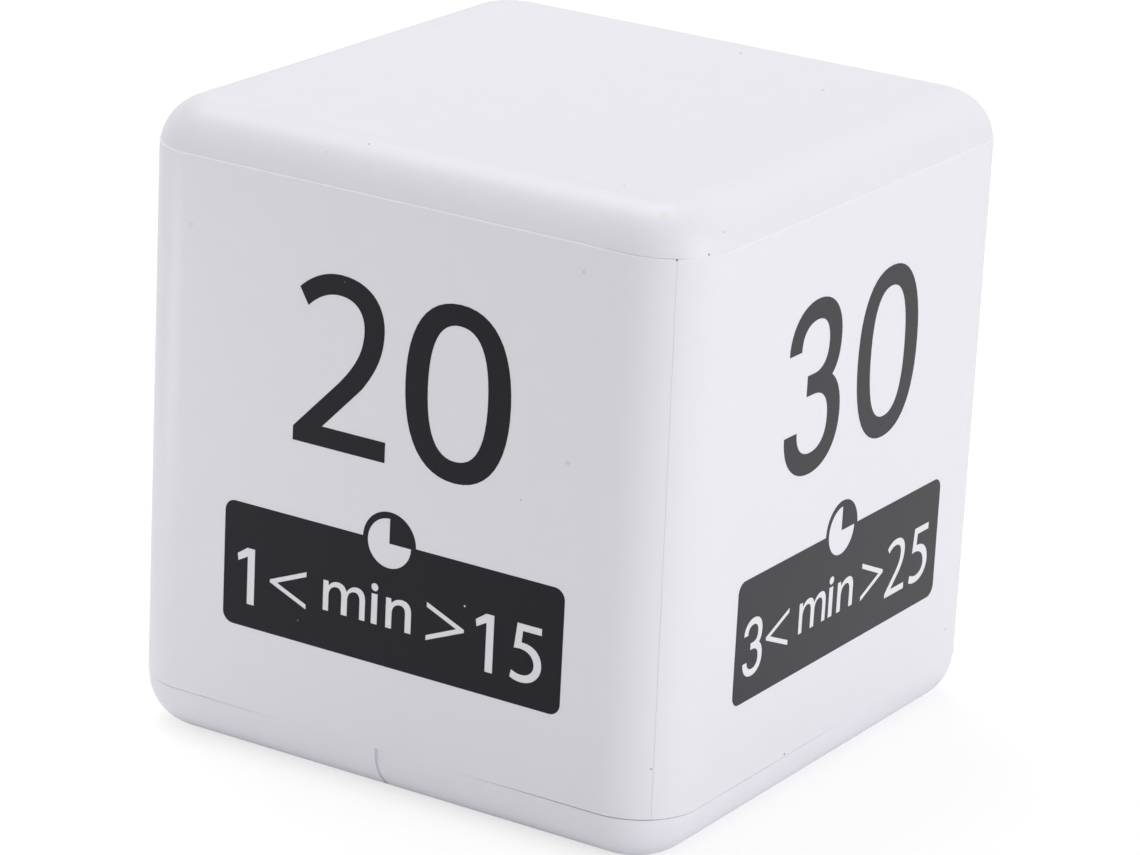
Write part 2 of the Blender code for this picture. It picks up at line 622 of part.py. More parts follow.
def upper_shell():
    rings = [
        rounded_square(WAIST_HALF, WAIST_RADIUS, PARTING_HEIGHT + CLEARANCE),
        rounded_square(WAIST_HALF, WAIST_RADIUS, LEDGE_HIGH),
    ]
    start = math.asin(1 - (CUBE_HEIGHT - LEDGE_HIGH) / RIM_FILLET)
    rings += fillet_rings(RIM_HALF, RIM_RADIUS, RIM_FILLET, CUBE_HEIGHT, 1, start)
    body = piece("upper_shell", lofted(rings), "shell_white")
    under_top = CUBE_HEIGHT - WALL
    hollow = [rounded_square(CAVITY_HALF, CAVITY_RADIUS, PARTING_HEIGHT - OVERRUN)]
    hollow += fillet_rings(CAVITY_HALF, CAVITY_RADIUS, CAVITY_FILLET, under_top, 1)
    groove = (CAVITY_HALF + LIP_THICKNESS + CLEARANCE, CAVITY_RADIUS + LIP_THICKNESS + CLEARANCE)
    lip_space = [
        rounded_square(*groove, PARTING_HEIGHT - OVERRUN),
        rounded_square(*groove, PARTING_HEIGHT + LIP_HEIGHT + CLEARANCE),
    ]
    cut(body, lofted(hollow), lofted(lip_space))

    added = []
    for place in CASE_PLACES:
        boss = rod(CAP_BOSS_RADIUS, BOSS_TOP + CLEARANCE, under_top + WALL / 2)
        added.append(placed(boss, (*place, 0)))
    rib_bottom = PARTING_HEIGHT + LIP_HEIGHT + OVERRUN
    for quarter in range(4):
        for side in (-1, 1):
            middle = side * CUBE_WIDTH / 8
            rib = block((CAVITY_HALF - RIB_DEPTH, middle - RIB_THICKNESS / 2, rib_bottom),
                        (CAVITY_HALF + WALL / 2, middle + RIB_THICKNESS / 2, rib_bottom + RIB_LENGTH))
            added.append(placed(rib, (0, 0, 0), quarter * math.pi / 2))
    outer_face = -(CAVITY_HALF - CLEARANCE)
    hook_bottom = PARTING_HEIGHT - HOOK_DEPTH
    for side in (-1, 1):
        low, high = side * HOOK_SPACING / 2 - HOOK_WIDTH / 2, side * HOOK_SPACING / 2 + HOOK_WIDTH / 2
        inner_face, root = outer_face + HOOK_THICKNESS, rib_bottom + HOOK_WIDTH / 3
        added.append(block((outer_face, low, hook_bottom), (inner_face, high, root)))
        added.append(block((-(CAVITY_HALF + WALL / 2), low, rib_bottom), (inner_face, high, root)))
        added.append(
            block((outer_face - HOOK_BARB, low, hook_bottom),
                  (outer_face + HOOK_THICKNESS, high, hook_bottom + HOOK_BARB_HEIGHT))
        )
    joined(body, *added)
    holes = []
    for place in CASE_PLACES:
        depth = CASE_SEAT_HEIGHT + CASE_SCREW_LENGTH + CLEARANCE
        holes.append(placed(rod(CASE_SCREW_RADIUS + CLEARANCE, BOSS_TOP, depth, 16), (*place, 0)))
    cut(body, *holes)


def battery_door():
    rings = fillet_rings(RIM_HALF, RIM_RADIUS, RIM_FILLET, 0, -1)[::-1]
    rings.append(rounded_square(RIM_HALF, RIM_RADIUS, LEDGE_LOW))
    body = piece("battery_door", lofted(rings), "shell_white")
    inner, inner_radius = RIM_HALF - DOOR_WALL, RIM_RADIUS - DOOR_WALL
    hollow = fillet_rings(inner, inner_radius, DOOR_CAVITY_FILLET, DOOR_WALL, -1)[::-1]
    hollow.append(rounded_square(inner, inner_radius, LEDGE_LOW + OVERRUN))
    reach = LABEL_HALF + OVERRUN
    cut(body, lofted(hollow), block((DOOR_EDGE, -reach, -OVERRUN), (reach, reach, reach)))

    added = []
    tongue_left = DOOR_TONGUE_MARGIN - (RIM_HALF - RIM_RADIUS)
    tongue_low = RAIL_TOP + CLEARANCE
    for side in (-1, 1):
        low, high = sorted((side * (inner - DOOR_TONGUE_DEPTH), side * (inner + DOOR_WALL / 2)))
        added.append(
            block((tongue_left, low, tongue_low),
                  (DOOR_EDGE - DOOR_TONGUE_MARGIN, high, tongue_low + DOOR_TONGUE_HEIGHT))
        )
        tab_low = DOOR_WALL + CLEARANCE
        tab_high = tab_low + TAB_THICKNESS
        added.append(tab_block(DOOR_EDGE - TAB_ROOT, DOOR_EDGE, DOOR_WALL / 2, tab_high, 0, side))
        tab_left, tab_right = DOOR_EDGE - TAB_ROOT / 2, DOOR_EDGE + TAB_REACH
        added.append(tab_block(tab_left, tab_right, tab_low, tab_high, 0, side))
        for x in CELL_X:
            middle = x + side * CELL_RADIUS / 2
            added.append(
                block((middle - DOOR_RIB_WIDTH / 2, -DOOR_RIB_LENGTH / 2, DOOR_WALL / 2),
                      (middle + DOOR_RIB_WIDTH / 2, DOOR_RIB_LENGTH / 2, DOOR_WALL + DOOR_RIB_HEIGHT))
            )
    joined(body, *added)
    grips = []
    for index in range(GRIP_COUNT):
        left = -(RIM_HALF - GRIP_MARGIN) + index * GRIP_PITCH
        right, end = left + GRIP_WIDTH, GRIP_LENGTH / 2
        grips.append(block((left, -end, -OVERRUN), (right, end, GRIP_DEPTH)))
    cut(body, *grips)
    rest_on_axis(body, (DOOR_EDGE, 0, DOOR_WALL / 2))


def wrap_label():
    outer = [rounded_square(LABEL_HALF, CORNER_RADIUS, height) for height in (LABEL_BOTTOM, LABEL_TOP)]
    sheet_size = (LABEL_HALF - LABEL_THICKNESS, CORNER_RADIUS - LABEL_THICKNESS)
    inner = [
        rounded_square(*sheet_size, LABEL_BOTTOM - OVERRUN),
        rounded_square(*sheet_size, LABEL_TOP + OVERRUN),
    ]
    seam = block((LABEL_HALF, -LABEL_SEAM_GAP / 2, LABEL_BOTTOM - OVERRUN),
                 (CUBE_WIDTH, LABEL_SEAM_GAP / 2, LABEL_TOP + OVERRUN))
    body = piece("wrap_label", lofted(outer), "label_print")
    cut(body, lofted(inner), placed(seam, (0, 0, 0), -math.pi / 4))


def battery_cell(name, x, plus_side):
    """A cell that lies along Y, with its plus end towards plus_side."""
    can_top = CELL_LENGTH - CELL_NUB_LENGTH
    rim = CELL_RADIUS - CELL_SHOULDER
    profile = (
        (0, 0), (CELL_RADIUS - CELL_STEP, 0), (CELL_RADIUS - CELL_STEP, CELL_SHOULDER / 2),
        (rim, CELL_SHOULDER / 2), (CELL_RADIUS, CELL_SHOULDER), (CELL_RADIUS, can_top - CELL_SHOULDER),
        (rim, can_top), (CELL_NUB_RADIUS, can_top), (CELL_NUB_RADIUS, CELL_LENGTH - CELL_SHOULDER / 2),
        (CELL_NUB_RADIUS - CELL_SHOULDER / 2, CELL_LENGTH), (0, CELL_LENGTH),
    )
    tip = plus_side * (BAY_HALF - 2 * CLEARANCE - PLATE_THICKNESS)
    start = Vector((x, tip - plus_side * CELL_LENGTH, CELL_AXIS_HEIGHT))
    turn = math.pi if plus_side > 0 else 0
    piece(name, placed(turned(profile), start, turn, "X"), "cell_jacket")


def coil_spring(name, x, base_side):
    """A cone spring between a cell's flat end and its contact plate, wound along Y."""
    base = base_side * (BAY_HALF - 2 * CLEARANCE - PLATE_THICKNESS)
    rise = SPRING_LENGTH - SPRING_WIRE
    count = SPRING_TURNS * SPRING_POINTS
    points = []
    for index in range(count + 1):
        share = index / count
        angle = share * SPRING_TURNS * math.tau
        radius = SPRING_BASE_RADIUS + (SPRING_TIP_RADIUS - SPRING_BASE_RADIUS) * share
        along = base - base_side * (SPRING_WIRE / 2 + rise * share)
        points.append(
            Vector((x + radius * math.cos(angle), along, CELL_AXIS_HEIGHT + radius * math.sin(angle)))
        )
    gaps = [
        (points[a] - points[b]).length - SPRING_WIRE
        for a in range(count + 1) for b in range(a + SPRING_POINTS // 2, count + 1)
    ]
    print(f"{name}: least gap between turns {min(gaps):.5f} m")
    wire(name, points, SPRING_WIRE / 2, "nickel", 1)


def upright_sheet(name, left, right, tabs, centre_y):
    """A contact plate that stands across the bay, with solder tabs up from its top edge."""
    low, high = CELL_AXIS_HEIGHT - PLATE_HEIGHT / 2, CELL_AXIS_HEIGHT + PLATE_HEIGHT / 2
    outline = [(left, low), (right, low), (right, high)]
    for x in tabs:
        tab_top = CEILING_TOP + PLATE_TAB_REACH
        outline += [
            (x + PLATE_TAB_WIDTH / 2, high), (x + PLATE_TAB_WIDTH / 2, tab_top),
            (x - PLATE_TAB_WIDTH / 2, tab_top), (x - PLATE_TAB_WIDTH / 2, high),
        ]
    outline.append((left, high))
    shape = bmesh.new()
    face = shape.faces.new([shape.verts.new((x, -PLATE_THICKNESS / 2, z)) for x, z in outline])
    grown = bmesh.ops.extrude_face_region(shape, geom=[face])
    moved = [item for item in grown["geom"] if isinstance(item, bmesh.types.BMVert)]
    bmesh.ops.translate(shape, vec=(0, PLATE_THICKNESS, 0), verts=moved)
    corners = [
        edge for edge in shape.edges
        if abs(edge.verts[0].co.y - edge.verts[1].co.y) > PLATE_THICKNESS / 2
        and abs(edge.verts[0].co.z - CELL_AXIS_HEIGHT) < PLATE_HEIGHT / 2 + WELD_DISTANCE
        and min(abs(edge.verts[0].co.x - left), abs(edge.verts[0].co.x - right)) < WELD_DISTANCE
    ]
    bmesh.ops.bevel(
        shape, geom=corners, offset=PLATE_CORNER, offset_type="OFFSET", segments=3, profile=0.5,
        affect="EDGES", material=-1,
    )
    bmesh.ops.recalc_face_normals(shape, faces=shape.faces)
    piece(name, placed(shape, (0, centre_y, 0)), "nickel")


def cells_and_contacts():
    front = -(BAY_HALF - CLEARANCE - PLATE_THICKNESS / 2)
    half = PLATE_WIDTH / 2
    battery_cell("battery_cell_left", CELL_X[1], -1)
    battery_cell("battery_cell_right", CELL_X[0], 1)
    upright_sheet("contact_plate_positive", CELL_X[1] - half, CELL_X[1] + half, [CELL_X[1]], front)
    upright_sheet("contact_plate_negative", CELL_X[0] - half, CELL_X[0] + half, [CELL_X[0]], front)
    upright_sheet("contact_plate_link", CELL_X[1] - half, CELL_X[0] + half, [], -front)
    coil_spring("spring_negative", CELL_X[0], -1)
    coil_spring("spring_link", CELL_X[1], 1)


def cross_screw(name, place, radius, head_radius, head_height, length, under_head, head_up):
    """A screw whose head's flat face is at under_head. Its cross recess faces away from the thread."""
    profile = (
        (0, -length), (radius / 3, -length), (radius, SCREW_POINT - length), (radius, 0),
        (head_radius, 0), (head_radius, head_height * 2 / 3),
        (head_radius * 3 / 4, head_height), (0, head_height),
    )
    body = piece(name, turned(profile, 20), "nickel")
    recess_low = head_height - DRIVE_DEPTH
    over = head_height + OVERRUN
    long_half, short_half = DRIVE_LENGTH / 2 * head_radius / CASE_SCREW_HEAD_RADIUS, DRIVE_WIDTH / 2
    cut(
        body,
        block((-long_half, -short_half, recess_low), (long_half, short_half, over)),
        block((-short_half, -long_half, recess_low), (short_half, long_half, over)),
    )
    if not head_up:
        body.data.transform(Matrix.Rotation(math.pi, 4, "X"))
    body.data.transform(Matrix.Translation((*place[:2], under_head)))


def fasteners():
    for name, place in zip(("case_screw_front", "case_screw_rear"), CASE_PLACES):
        cross_screw(name, place, CASE_SCREW_RADIUS, CASE_SCREW_HEAD_RADIUS, CASE_SCREW_HEAD_HEIGHT,
                    CASE_SCREW_LENGTH, CASE_SEAT_HEIGHT - CLEARANCE, False)
    for index, place in enumerate(POST_PLACES):
        cross_screw(f"board_screw_{index + 1}", place, BOARD_SCREW_RADIUS, BOARD_SCREW_HEAD_RADIUS,
                    BOARD_SCREW_HEAD_HEIGHT, BOARD_SCREW_LENGTH, BOARD_TOP + CLEARANCE, True)


def pin_places():
    """Every wire pin that goes down through the board."""
    places = []
    for x_share, y_share, degrees in TILT_PLACE_SHARES:
        middle = board_point((x_share, y_share), 0)
        along = Matrix.Rotation(math.radians(degrees), 3, "Z") @ Vector((1, 0, 0))
        places += [middle - along * (TILT_LENGTH / 2 + TILT_PIN_REACH), middle + along * TILT_LENGTH / 4]
    for side in (-1, 0, 1):
        places.append(SWITCH_PLACE + Vector((0, side * SWITCH_LENGTH / 4, 0)))
    return places


def circuit_board():
    outline = (
        (BOARD_LOW_X, -BOARD_HALF_Y), (BOARD_NOTCH, -BOARD_HALF_Y), (BOARD_NOTCH, -BOARD_NOTCH),
        (BOARD_HIGH_X, -BOARD_NOTCH), (BOARD_HIGH_X, BOARD_NOTCH), (BOARD_NOTCH, BOARD_NOTCH),
        (BOARD_NOTCH, BOARD_HALF_Y), (BOARD_LOW_X, BOARD_HALF_Y),
    )
    sides = [[Vector((*corner, height)) for corner in outline] for height in (BOARD_HEIGHT, BOARD_TOP)]
    body = piece("circuit_board", lofted(sides), "board_green")
    holes = []
    low, high = BOARD_HEIGHT - OVERRUN, BOARD_TOP + OVERRUN
    for place in POST_PLACES:
        holes.append(placed(rod(BOARD_SCREW_RADIUS + CLEARANCE, low, high, 16), place))
    for place in pin_places():
        holes.append(placed(rod(PIN_RADIUS + CLEARANCE, low, high, 10), place))
    for shares in SOUNDER_LEAD_SHARES:
        holes.append(placed(rod(WIRE_RADIUS + CLEARANCE, low, high, 12), board_point(shares, 0)))
    cut(body, *holes)


def tilt_switches():
    axis_height = PART_SEAT + TILT_RADIUS
    half = TILT_LENGTH / 2
    for index, (x_share, y_share, degrees) in enumerate(TILT_PLACE_SHARES):
        middle = board_point((x_share, y_share), axis_height)
        turn = math.radians(degrees)
        place = Matrix.Translation(middle) @ Matrix.Rotation(turn, 4, "Z")
        lay = place @ Matrix.Rotation(math.pi / 2, 4, "Y")
        leg_low = BOARD_HEIGHT - TILT_PIN_REACH / 2

        can_shape = turned(
            (
                (TILT_BORE_RADIUS, -half), (TILT_RADIUS, -half), (TILT_RADIUS, half), (0, half),
                (0, half - TILT_END_WALL), (TILT_BORE_RADIUS, half - TILT_END_WALL),
                (TILT_BORE_RADIUS, -half),
            ),
            20,
        )
        can_shape.transform(lay)
        can = piece(f"tilt_can_{index + 1}", can_shape, "nickel")
        leg = rod(PIN_RADIUS, leg_low - axis_height, -(TILT_BORE_RADIUS + TILT_RADIUS) / 2, 10)
        leg.transform(place @ Matrix.Translation((TILT_LENGTH / 4, 0, 0)))
        joined(can, leg)

        plug_radius = TILT_BORE_RADIUS - CLEARANCE
        plug_shape = turned(
            (
                (0, TILT_PLUG_DEPTH - half), (plug_radius, TILT_PLUG_DEPTH - half),
                (plug_radius, -half - CLEARANCE), (TILT_RADIUS, -half - CLEARANCE),
                (TILT_RADIUS, -half - CLEARANCE - TILT_PLUG_LIP), (0, -half - CLEARANCE - TILT_PLUG_LIP),
            ),
            20,
        )
        plug_shape.transform(lay)
        bmesh.ops.recalc_face_normals(plug_shape, faces=plug_shape.faces)
        plug = piece(f"tilt_plug_{index + 1}", plug_shape, "black_plastic")
        pin_reach = -half - TILT_PIN_REACH
        arm = rod(PIN_RADIUS, pin_reach - PIN_RADIUS, -half - TILT_PLUG_LIP / 2, 10)
        arm.transform(lay)
        drop = rod(PIN_RADIUS * 3 / 4, leg_low - axis_height, 0, 8)
        drop.transform(place @ Matrix.Translation((pin_reach, 0, 0)))
        joined(plug, arm, drop)

        ball = bmesh.new()
        bmesh.ops.create_uvsphere(ball, u_segments=16, v_segments=10, radius=TILT_BALL_RADIUS)
        rest = place @ Vector((0, 0, 0)) + (place.to_3x3() @ Vector((1, 0, 0))) * BALL_MIDDLE
        made = piece(f"tilt_ball_{index + 1}", placed(ball, rest), "nickel")
        rest_on_axis(made, rest)


def slide_switch():
    x_half, y_half = SWITCH_WIDTH / 2, SWITCH_LENGTH / 2
    base_low = SWITCH_HIGH - SWITCH_BASE_THICKNESS
    case_high = base_low - CLEARANCE
    case_block = block((-x_half, -y_half, SWITCH_LOW), (x_half, y_half, case_high))
    case = piece("switch_case", placed(case_block, SWITCH_PLACE), "nickel")
    room = block((SWITCH_SHEET - x_half, SWITCH_SHEET - y_half, SWITCH_LOW + SWITCH_SHEET),
                 (x_half - SWITCH_SHEET, y_half - SWITCH_SHEET, case_high + OVERRUN))
    slot_x = KNOB_WIDTH / 2 + CLEARANCE
    slot_y = (KNOB_LENGTH + SWITCH_TRAVEL) / 2 + CLEARANCE
    slot = block((-slot_x, -slot_y, 0), (slot_x, slot_y, SWITCH_LOW + SWITCH_SHEET + CLEARANCE))
    cut(case, placed(room, SWITCH_PLACE), placed(slot, SWITCH_PLACE))

    base_block = block((-x_half, -y_half, base_low), (x_half, y_half, SWITCH_HIGH))
    base = piece("switch_base", placed(base_block, SWITCH_PLACE), "black_plastic")
    pins = []
    for side in (-1, 0, 1):
        pin = rod(PIN_RADIUS, base_low + SWITCH_BASE_THICKNESS / 2, BOARD_TOP + TILT_PIN_REACH / 2, 10)
        pins.append(placed(pin, SWITCH_PLACE + Vector((0, side * SWITCH_LENGTH / 4, 0))))
    joined(base, *pins)

    off = SWITCH_PLACE - Vector((0, SWITCH_TRAVEL / 2, 0))
    slider_low = SWITCH_LOW + SWITCH_SHEET + CLEARANCE
    slider_high = slider_low + SLIDER_HEIGHT
    knob_x, knob_y = KNOB_WIDTH / 2, KNOB_LENGTH / 2
    knob = block((-knob_x, -knob_y, KNOB_RECESS), (knob_x, knob_y, slider_low + SLIDER_HEIGHT / 2))
    round_edges(knob, KNOB_BEVEL, 2)
    slider = piece("switch_slider", placed(knob, off), "black_plastic")
    foot_x, foot_y = SLIDER_WIDTH / 2, SLIDER_LENGTH / 2
    foot = block((-foot_x, -foot_y, slider_low), (foot_x, foot_y, slider_high))
    joined(slider, placed(foot, off))
    rest_on_axis(slider, off + Vector((0, 0, slider_low)))

    wiper_low = slider_high + CLEARANCE
    wiper = piece(
        "switch_wiper",
        placed(block((-WIPER_WIDTH / 2, -WIPER_LENGTH / 2, wiper_low),
                     (WIPER_WIDTH / 2, WIPER_LENGTH / 2, wiper_low + WIPER_THICKNESS)), off),
        "brass",
    )
    rest_on_axis(wiper, off + Vector((0, 0, wiper_low)))


def sounder():
    ring_low = WALL + CLEARANCE
    ring_high = ring_low + SOUNDER_RING_THICKNESS
    inner = DISC_RADIUS - SOUNDER_RING_WIDTH
    ring = turned(
        (
            (DISC_RADIUS, ring_low), (DISC_RADIUS, ring_high), (inner, ring_high), (inner, ring_low),
            (DISC_RADIUS, ring_low),
        ),
        32,
    )
    piece("piezo_ring", placed(ring, SOUNDER_PLACE), "foam_black")
    disc_low = ring_high + CLEARANCE
    disc_high = disc_low + DISC_THICKNESS
    piece("piezo_disc", placed(rod(DISC_RADIUS, disc_low, disc_high, 32), SOUNDER_PLACE), "brass")
    ceramic_low = disc_high + CLEARANCE
    ceramic_high = ceramic_low + CERAMIC_THICKNESS
    ceramic = rod(CERAMIC_RADIUS, ceramic_low, ceramic_high, 28)
    piece("piezo_ceramic", placed(ceramic, SOUNDER_PLACE), "ceramic")
    return disc_high, ceramic_high


def board_parts():
    dome = [(0, 0), (CHIP_RADIUS, 0)]
    for step in range(1, FILLET_STEPS + 1):
        angle = step * math.pi / 2 / FILLET_STEPS
        radius = CHIP_RADIUS * math.cos(angle) if step < FILLET_STEPS else 0
        dome.append((radius, CHIP_HEIGHT * math.sin(angle)))
    piece("timer_chip", placed(turned(dome), board_point(CHIP_PLACE_SHARE, PART_SEAT)), "black_plastic")
    crystal = rod(CRYSTAL_RADIUS, -CRYSTAL_LENGTH / 2, CRYSTAL_LENGTH / 2, 16)
    crystal_axis = board_point(CRYSTAL_PLACE_SHARE, PART_SEAT + CRYSTAL_RADIUS)
    piece("crystal_can", placed(crystal, crystal_axis, 0, "X"), "nickel")
    groove = CAPACITOR_HEIGHT / 6
    can = (
        (0, 0), (CAPACITOR_RADIUS, 0), (CAPACITOR_RADIUS, groove - CAPACITOR_GROOVE),
        (CAPACITOR_RADIUS - CAPACITOR_GROOVE, groove), (CAPACITOR_RADIUS, groove + CAPACITOR_GROOVE),
        (CAPACITOR_RADIUS, CAPACITOR_HEIGHT - CAPACITOR_GROOVE),
        (CAPACITOR_RADIUS - CAPACITOR_GROOVE, CAPACITOR_HEIGHT), (0, CAPACITOR_HEIGHT),
    )
    can_foot = board_point(CAPACITOR_PLACE_SHARE, PART_SEAT)
    piece("filter_capacitor", placed(turned(can, 20), can_foot), "black_plastic")
    drum = (
        (0, 0), (COIL_RADIUS, 0), (COIL_RADIUS, COIL_FLANGE), (COIL_WAIST_RADIUS, COIL_FLANGE),
        (COIL_WAIST_RADIUS, COIL_HEIGHT - COIL_FLANGE), (COIL_RADIUS, COIL_HEIGHT - COIL_FLANGE),
        (COIL_RADIUS, COIL_HEIGHT), (0, COIL_HEIGHT),
    )
    piece("driver_coil", placed(turned(drum, 20), board_point(COIL_PLACE_SHARE, PART_SEAT)), "ferrite")
    transistor_foot = board_point(TRANSISTOR_PLACE_SHARE, PART_SEAT)
    package = rod(TRANSISTOR_RADIUS, 0, TRANSISTOR_HEIGHT, 20)
    body = piece("driver_transistor", placed(package, transistor_foot), "black_plastic")
    flat = block((-TRANSISTOR_RADIUS - OVERRUN, -TRANSISTOR_RADIUS - OVERRUN, -OVERRUN),
                 (TRANSISTOR_RADIUS + OVERRUN, -TRANSISTOR_RADIUS / 2, TRANSISTOR_HEIGHT + OVERRUN))
    cut(body, placed(flat, transistor_foot))
    for index in range(3):
        place = board_point(RESISTOR_PLACE_SHARE, PART_SEAT)
        place.x += (index - 1) * RESISTOR_PITCH
        chip_x, chip_y = RESISTOR_WIDTH / 2, RESISTOR_LENGTH / 2
        chip = block((-chip_x, -chip_y, 0), (chip_x, chip_y, RESISTOR_HEIGHT))
        piece(f"chip_resistor_{index + 1}", placed(chip, place), "black_plastic")


def leads(disc_top, ceramic_top):
    """The wires, from the contact plates and the sounder to the board."""
    lie = CEILING_TOP + CLEARANCE + WIRE_RADIUS
    ends = (
        ("lead_positive", "red_wire", CELL_X[1], POSITIVE_PAD_SHARE),
        ("lead_negative", "black_wire", CELL_X[0], NEGATIVE_PAD_SHARE),
    )
    for name, finish, x, pad_share in ends:
        start = tab_place(x) + Vector((0, PLATE_THICKNESS / 2 + CLEARANCE + WIRE_RADIUS, lie))
        pad = board_point(pad_share, PART_SEAT)
        marks = [
            start,
            Vector((start.x / 2 + PARTITION_RIGHT / 2, (start.y + pad.y) / 2, lie)),
            Vector((PARTITION_RIGHT, pad.y, lie)),
            Vector((pad.x, pad.y, (lie + pad.z) / 2 + WIRE_RISE)),
            Vector((pad.x, pad.y, pad.z + WIRE_RISE)),
            pad,
        ]
        wire(name, smooth_route(marks), WIRE_RADIUS, finish)
    tops = (disc_top, ceramic_top)
    for index, (shares, top) in enumerate(zip(SOUNDER_LEAD_SHARES, tops)):
        through = board_point(shares, 0)
        side = (through - SOUNDER_PLACE).normalized()
        reach = DISC_RADIUS - SOUNDER_RING_WIDTH if index == 0 else CERAMIC_RADIUS / 2
        foot = SOUNDER_PLACE + side * reach
        along = (through - foot).normalized()
        high = PART_SEAT + WIRE_RISE
        pad = through + Vector((0, -4 * WIRE_RADIUS, PART_SEAT + WIRE_RADIUS))
        start = foot + Vector((0, 0, top + CLEARANCE + WIRE_RADIUS))
        bend = through - along * WIRE_RISE + Vector((0, 0, BOARD_HEIGHT - WIRE_RISE))
        marks = [
            start,
            (start + bend) / 2 + Vector((0, 0, WIRE_RADIUS / 2)),
            bend,
            through + Vector((0, 0, BOARD_HEIGHT)),
            through + Vector((0, 0, high)),
            pad,
        ]
        finish = ("red_wire", "black_wire")[index]
        wire(f"lead_sounder_{index + 1}", smooth_route(marks), WIRE_RADIUS, finish)


def main():
    for old in list(bpy.data.objects):
        bpy.data.objects.remove(old)
    lower_shell()
    upper_shell()
    battery_door()
    wrap_label()
    cells_and_contacts()
    fasteners()
    circuit_board()
    tilt_switches()
    slide_switch()
    disc_top, ceramic_top = sounder()
    board_parts()
    leads(disc_top, ceramic_top)


main()
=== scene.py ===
import math

import bpy
import bmesh
from mathutils import Matrix, Vector


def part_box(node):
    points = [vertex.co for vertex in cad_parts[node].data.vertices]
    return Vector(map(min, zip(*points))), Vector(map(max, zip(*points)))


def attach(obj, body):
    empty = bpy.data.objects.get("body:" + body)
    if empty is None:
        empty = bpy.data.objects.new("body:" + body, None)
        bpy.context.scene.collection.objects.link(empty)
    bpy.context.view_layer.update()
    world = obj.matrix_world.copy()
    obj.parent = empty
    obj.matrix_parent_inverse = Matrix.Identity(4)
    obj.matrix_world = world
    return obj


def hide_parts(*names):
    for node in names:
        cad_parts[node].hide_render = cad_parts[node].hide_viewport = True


# A cube timer with a printed label round its four sides. Metres, +Z up, "20" on -Y and "30" on +X.

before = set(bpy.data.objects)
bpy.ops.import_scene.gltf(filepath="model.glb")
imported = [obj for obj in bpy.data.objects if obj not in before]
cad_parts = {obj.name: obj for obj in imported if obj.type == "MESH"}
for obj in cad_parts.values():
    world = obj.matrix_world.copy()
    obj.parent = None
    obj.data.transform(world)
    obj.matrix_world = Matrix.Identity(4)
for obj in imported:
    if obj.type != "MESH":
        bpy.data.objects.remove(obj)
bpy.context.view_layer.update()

# Places and sizes of the frame's pieces
LABEL_LOW, LABEL_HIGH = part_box("wrap_label")
LABEL_HALF = LABEL_HIGH.x
LABEL_BOTTOM = LABEL_LOW.z
LABEL_TOP = LABEL_HIGH.z
CUBE_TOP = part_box("upper_shell")[1].z
RIM_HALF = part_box("lower_shell")[1].x
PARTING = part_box("upper_shell")[0].z
LIP_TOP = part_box("lower_shell")[1].z
BOARD_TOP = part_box("circuit_board")[1].z
SLIDER_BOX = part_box("switch_slider")
DISC_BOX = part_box("piezo_disc")
SCREW_BOXES = [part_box(name) for name in ("case_screw_front", "case_screw_rear")]
POST_BOXES = [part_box(f"board_screw_{index}") for index in (1, 2, 3)]
CELL_BOXES = [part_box(name) for name in ("battery_cell_right", "battery_cell_left")]
SPRING_BOXES = [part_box(name) for name in ("spring_negative", "spring_link")]
TAB_BOXES = [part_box(name) for name in ("contact_plate_negative", "contact_plate_positive")]
HOOK_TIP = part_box("battery_door")[1].x

# Outside form, walls and clearances. OVERRUN is how far a cutter reaches past what it cuts.
CORNER_RADIUS = 0.0068
RIM_FILLET = 0.0050
RIM_INSET = LABEL_HALF - RIM_HALF
CAP_INSET = 0.00005
CLEARANCE = 0.0003
LABEL_THICKNESS = 0.00025
FOOT_LEDGE = 0.0002
HEAD_LEDGE = 0.0001
WALL = 0.0020
CAVITY_FILLET = 0.0030
CORNER_STEPS = 20
FILLET_STEPS = 14
OVERRUN = 0.0020
WELD = 0.000001
SHARP_ANGLE = math.radians(30)

WAIST_HALF = LABEL_HALF - LABEL_THICKNESS - CLEARANCE
WAIST_RADIUS = CORNER_RADIUS - LABEL_THICKNESS - CLEARANCE
CAVITY_HALF = WAIST_HALF - WALL
CAVITY_RADIUS = WAIST_RADIUS - WALL
RIM_RADIUS = CORNER_RADIUS - RIM_INSET
LEDGE_LOW = LABEL_BOTTOM - FOOT_LEDGE
LEDGE_HIGH = LABEL_TOP + HEAD_LEDGE
CAP_HALF = LABEL_HALF - CAP_INSET
CAP_RADIUS = CORNER_RADIUS - CAP_INSET


def new_object(name, shape):
    """Makes an object of a bmesh, and frees the bmesh."""
    mesh = bpy.data.meshes.new(name)
    shape.to_mesh(mesh)
    shape.free()
    made = bpy.data.objects.new(name, mesh)
    bpy.context.scene.collection.objects.link(made)
    return made


def shade(made):
    """Smooth shading, with every edge sharp that turns by more than SHARP_ANGLE."""
    made.data.shade_smooth()
    made.data.set_sharp_from_angle(angle=SHARP_ANGLE)
    return made


def bevel_edges(shape, edges, width, steps):
    bmesh.ops.bevel(
        shape, geom=edges, offset=width, offset_type="OFFSET", segments=steps, profile=0.5,
        affect="EDGES", material=-1, clamp_overlap=False,
    )


def block(low, high):
    """A box between two corners."""
    shape = bmesh.new()
    bmesh.ops.create_cube(shape, size=1.0)
    bmesh.ops.scale(shape, vec=Vector(high) - Vector(low), verts=shape.verts)
    bmesh.ops.translate(shape, vec=(Vector(high) + Vector(low)) / 2, verts=shape.verts)
    return shape


def upright_edges(shape):
    return [edge for edge in shape.edges if abs(edge.verts[0].co.z - edge.verts[1].co.z) > WELD]


def level_edges(shape, height):
    return [edge for edge in shape.edges if all(abs(vert.co.z - height) < WELD for vert in edge.verts)]


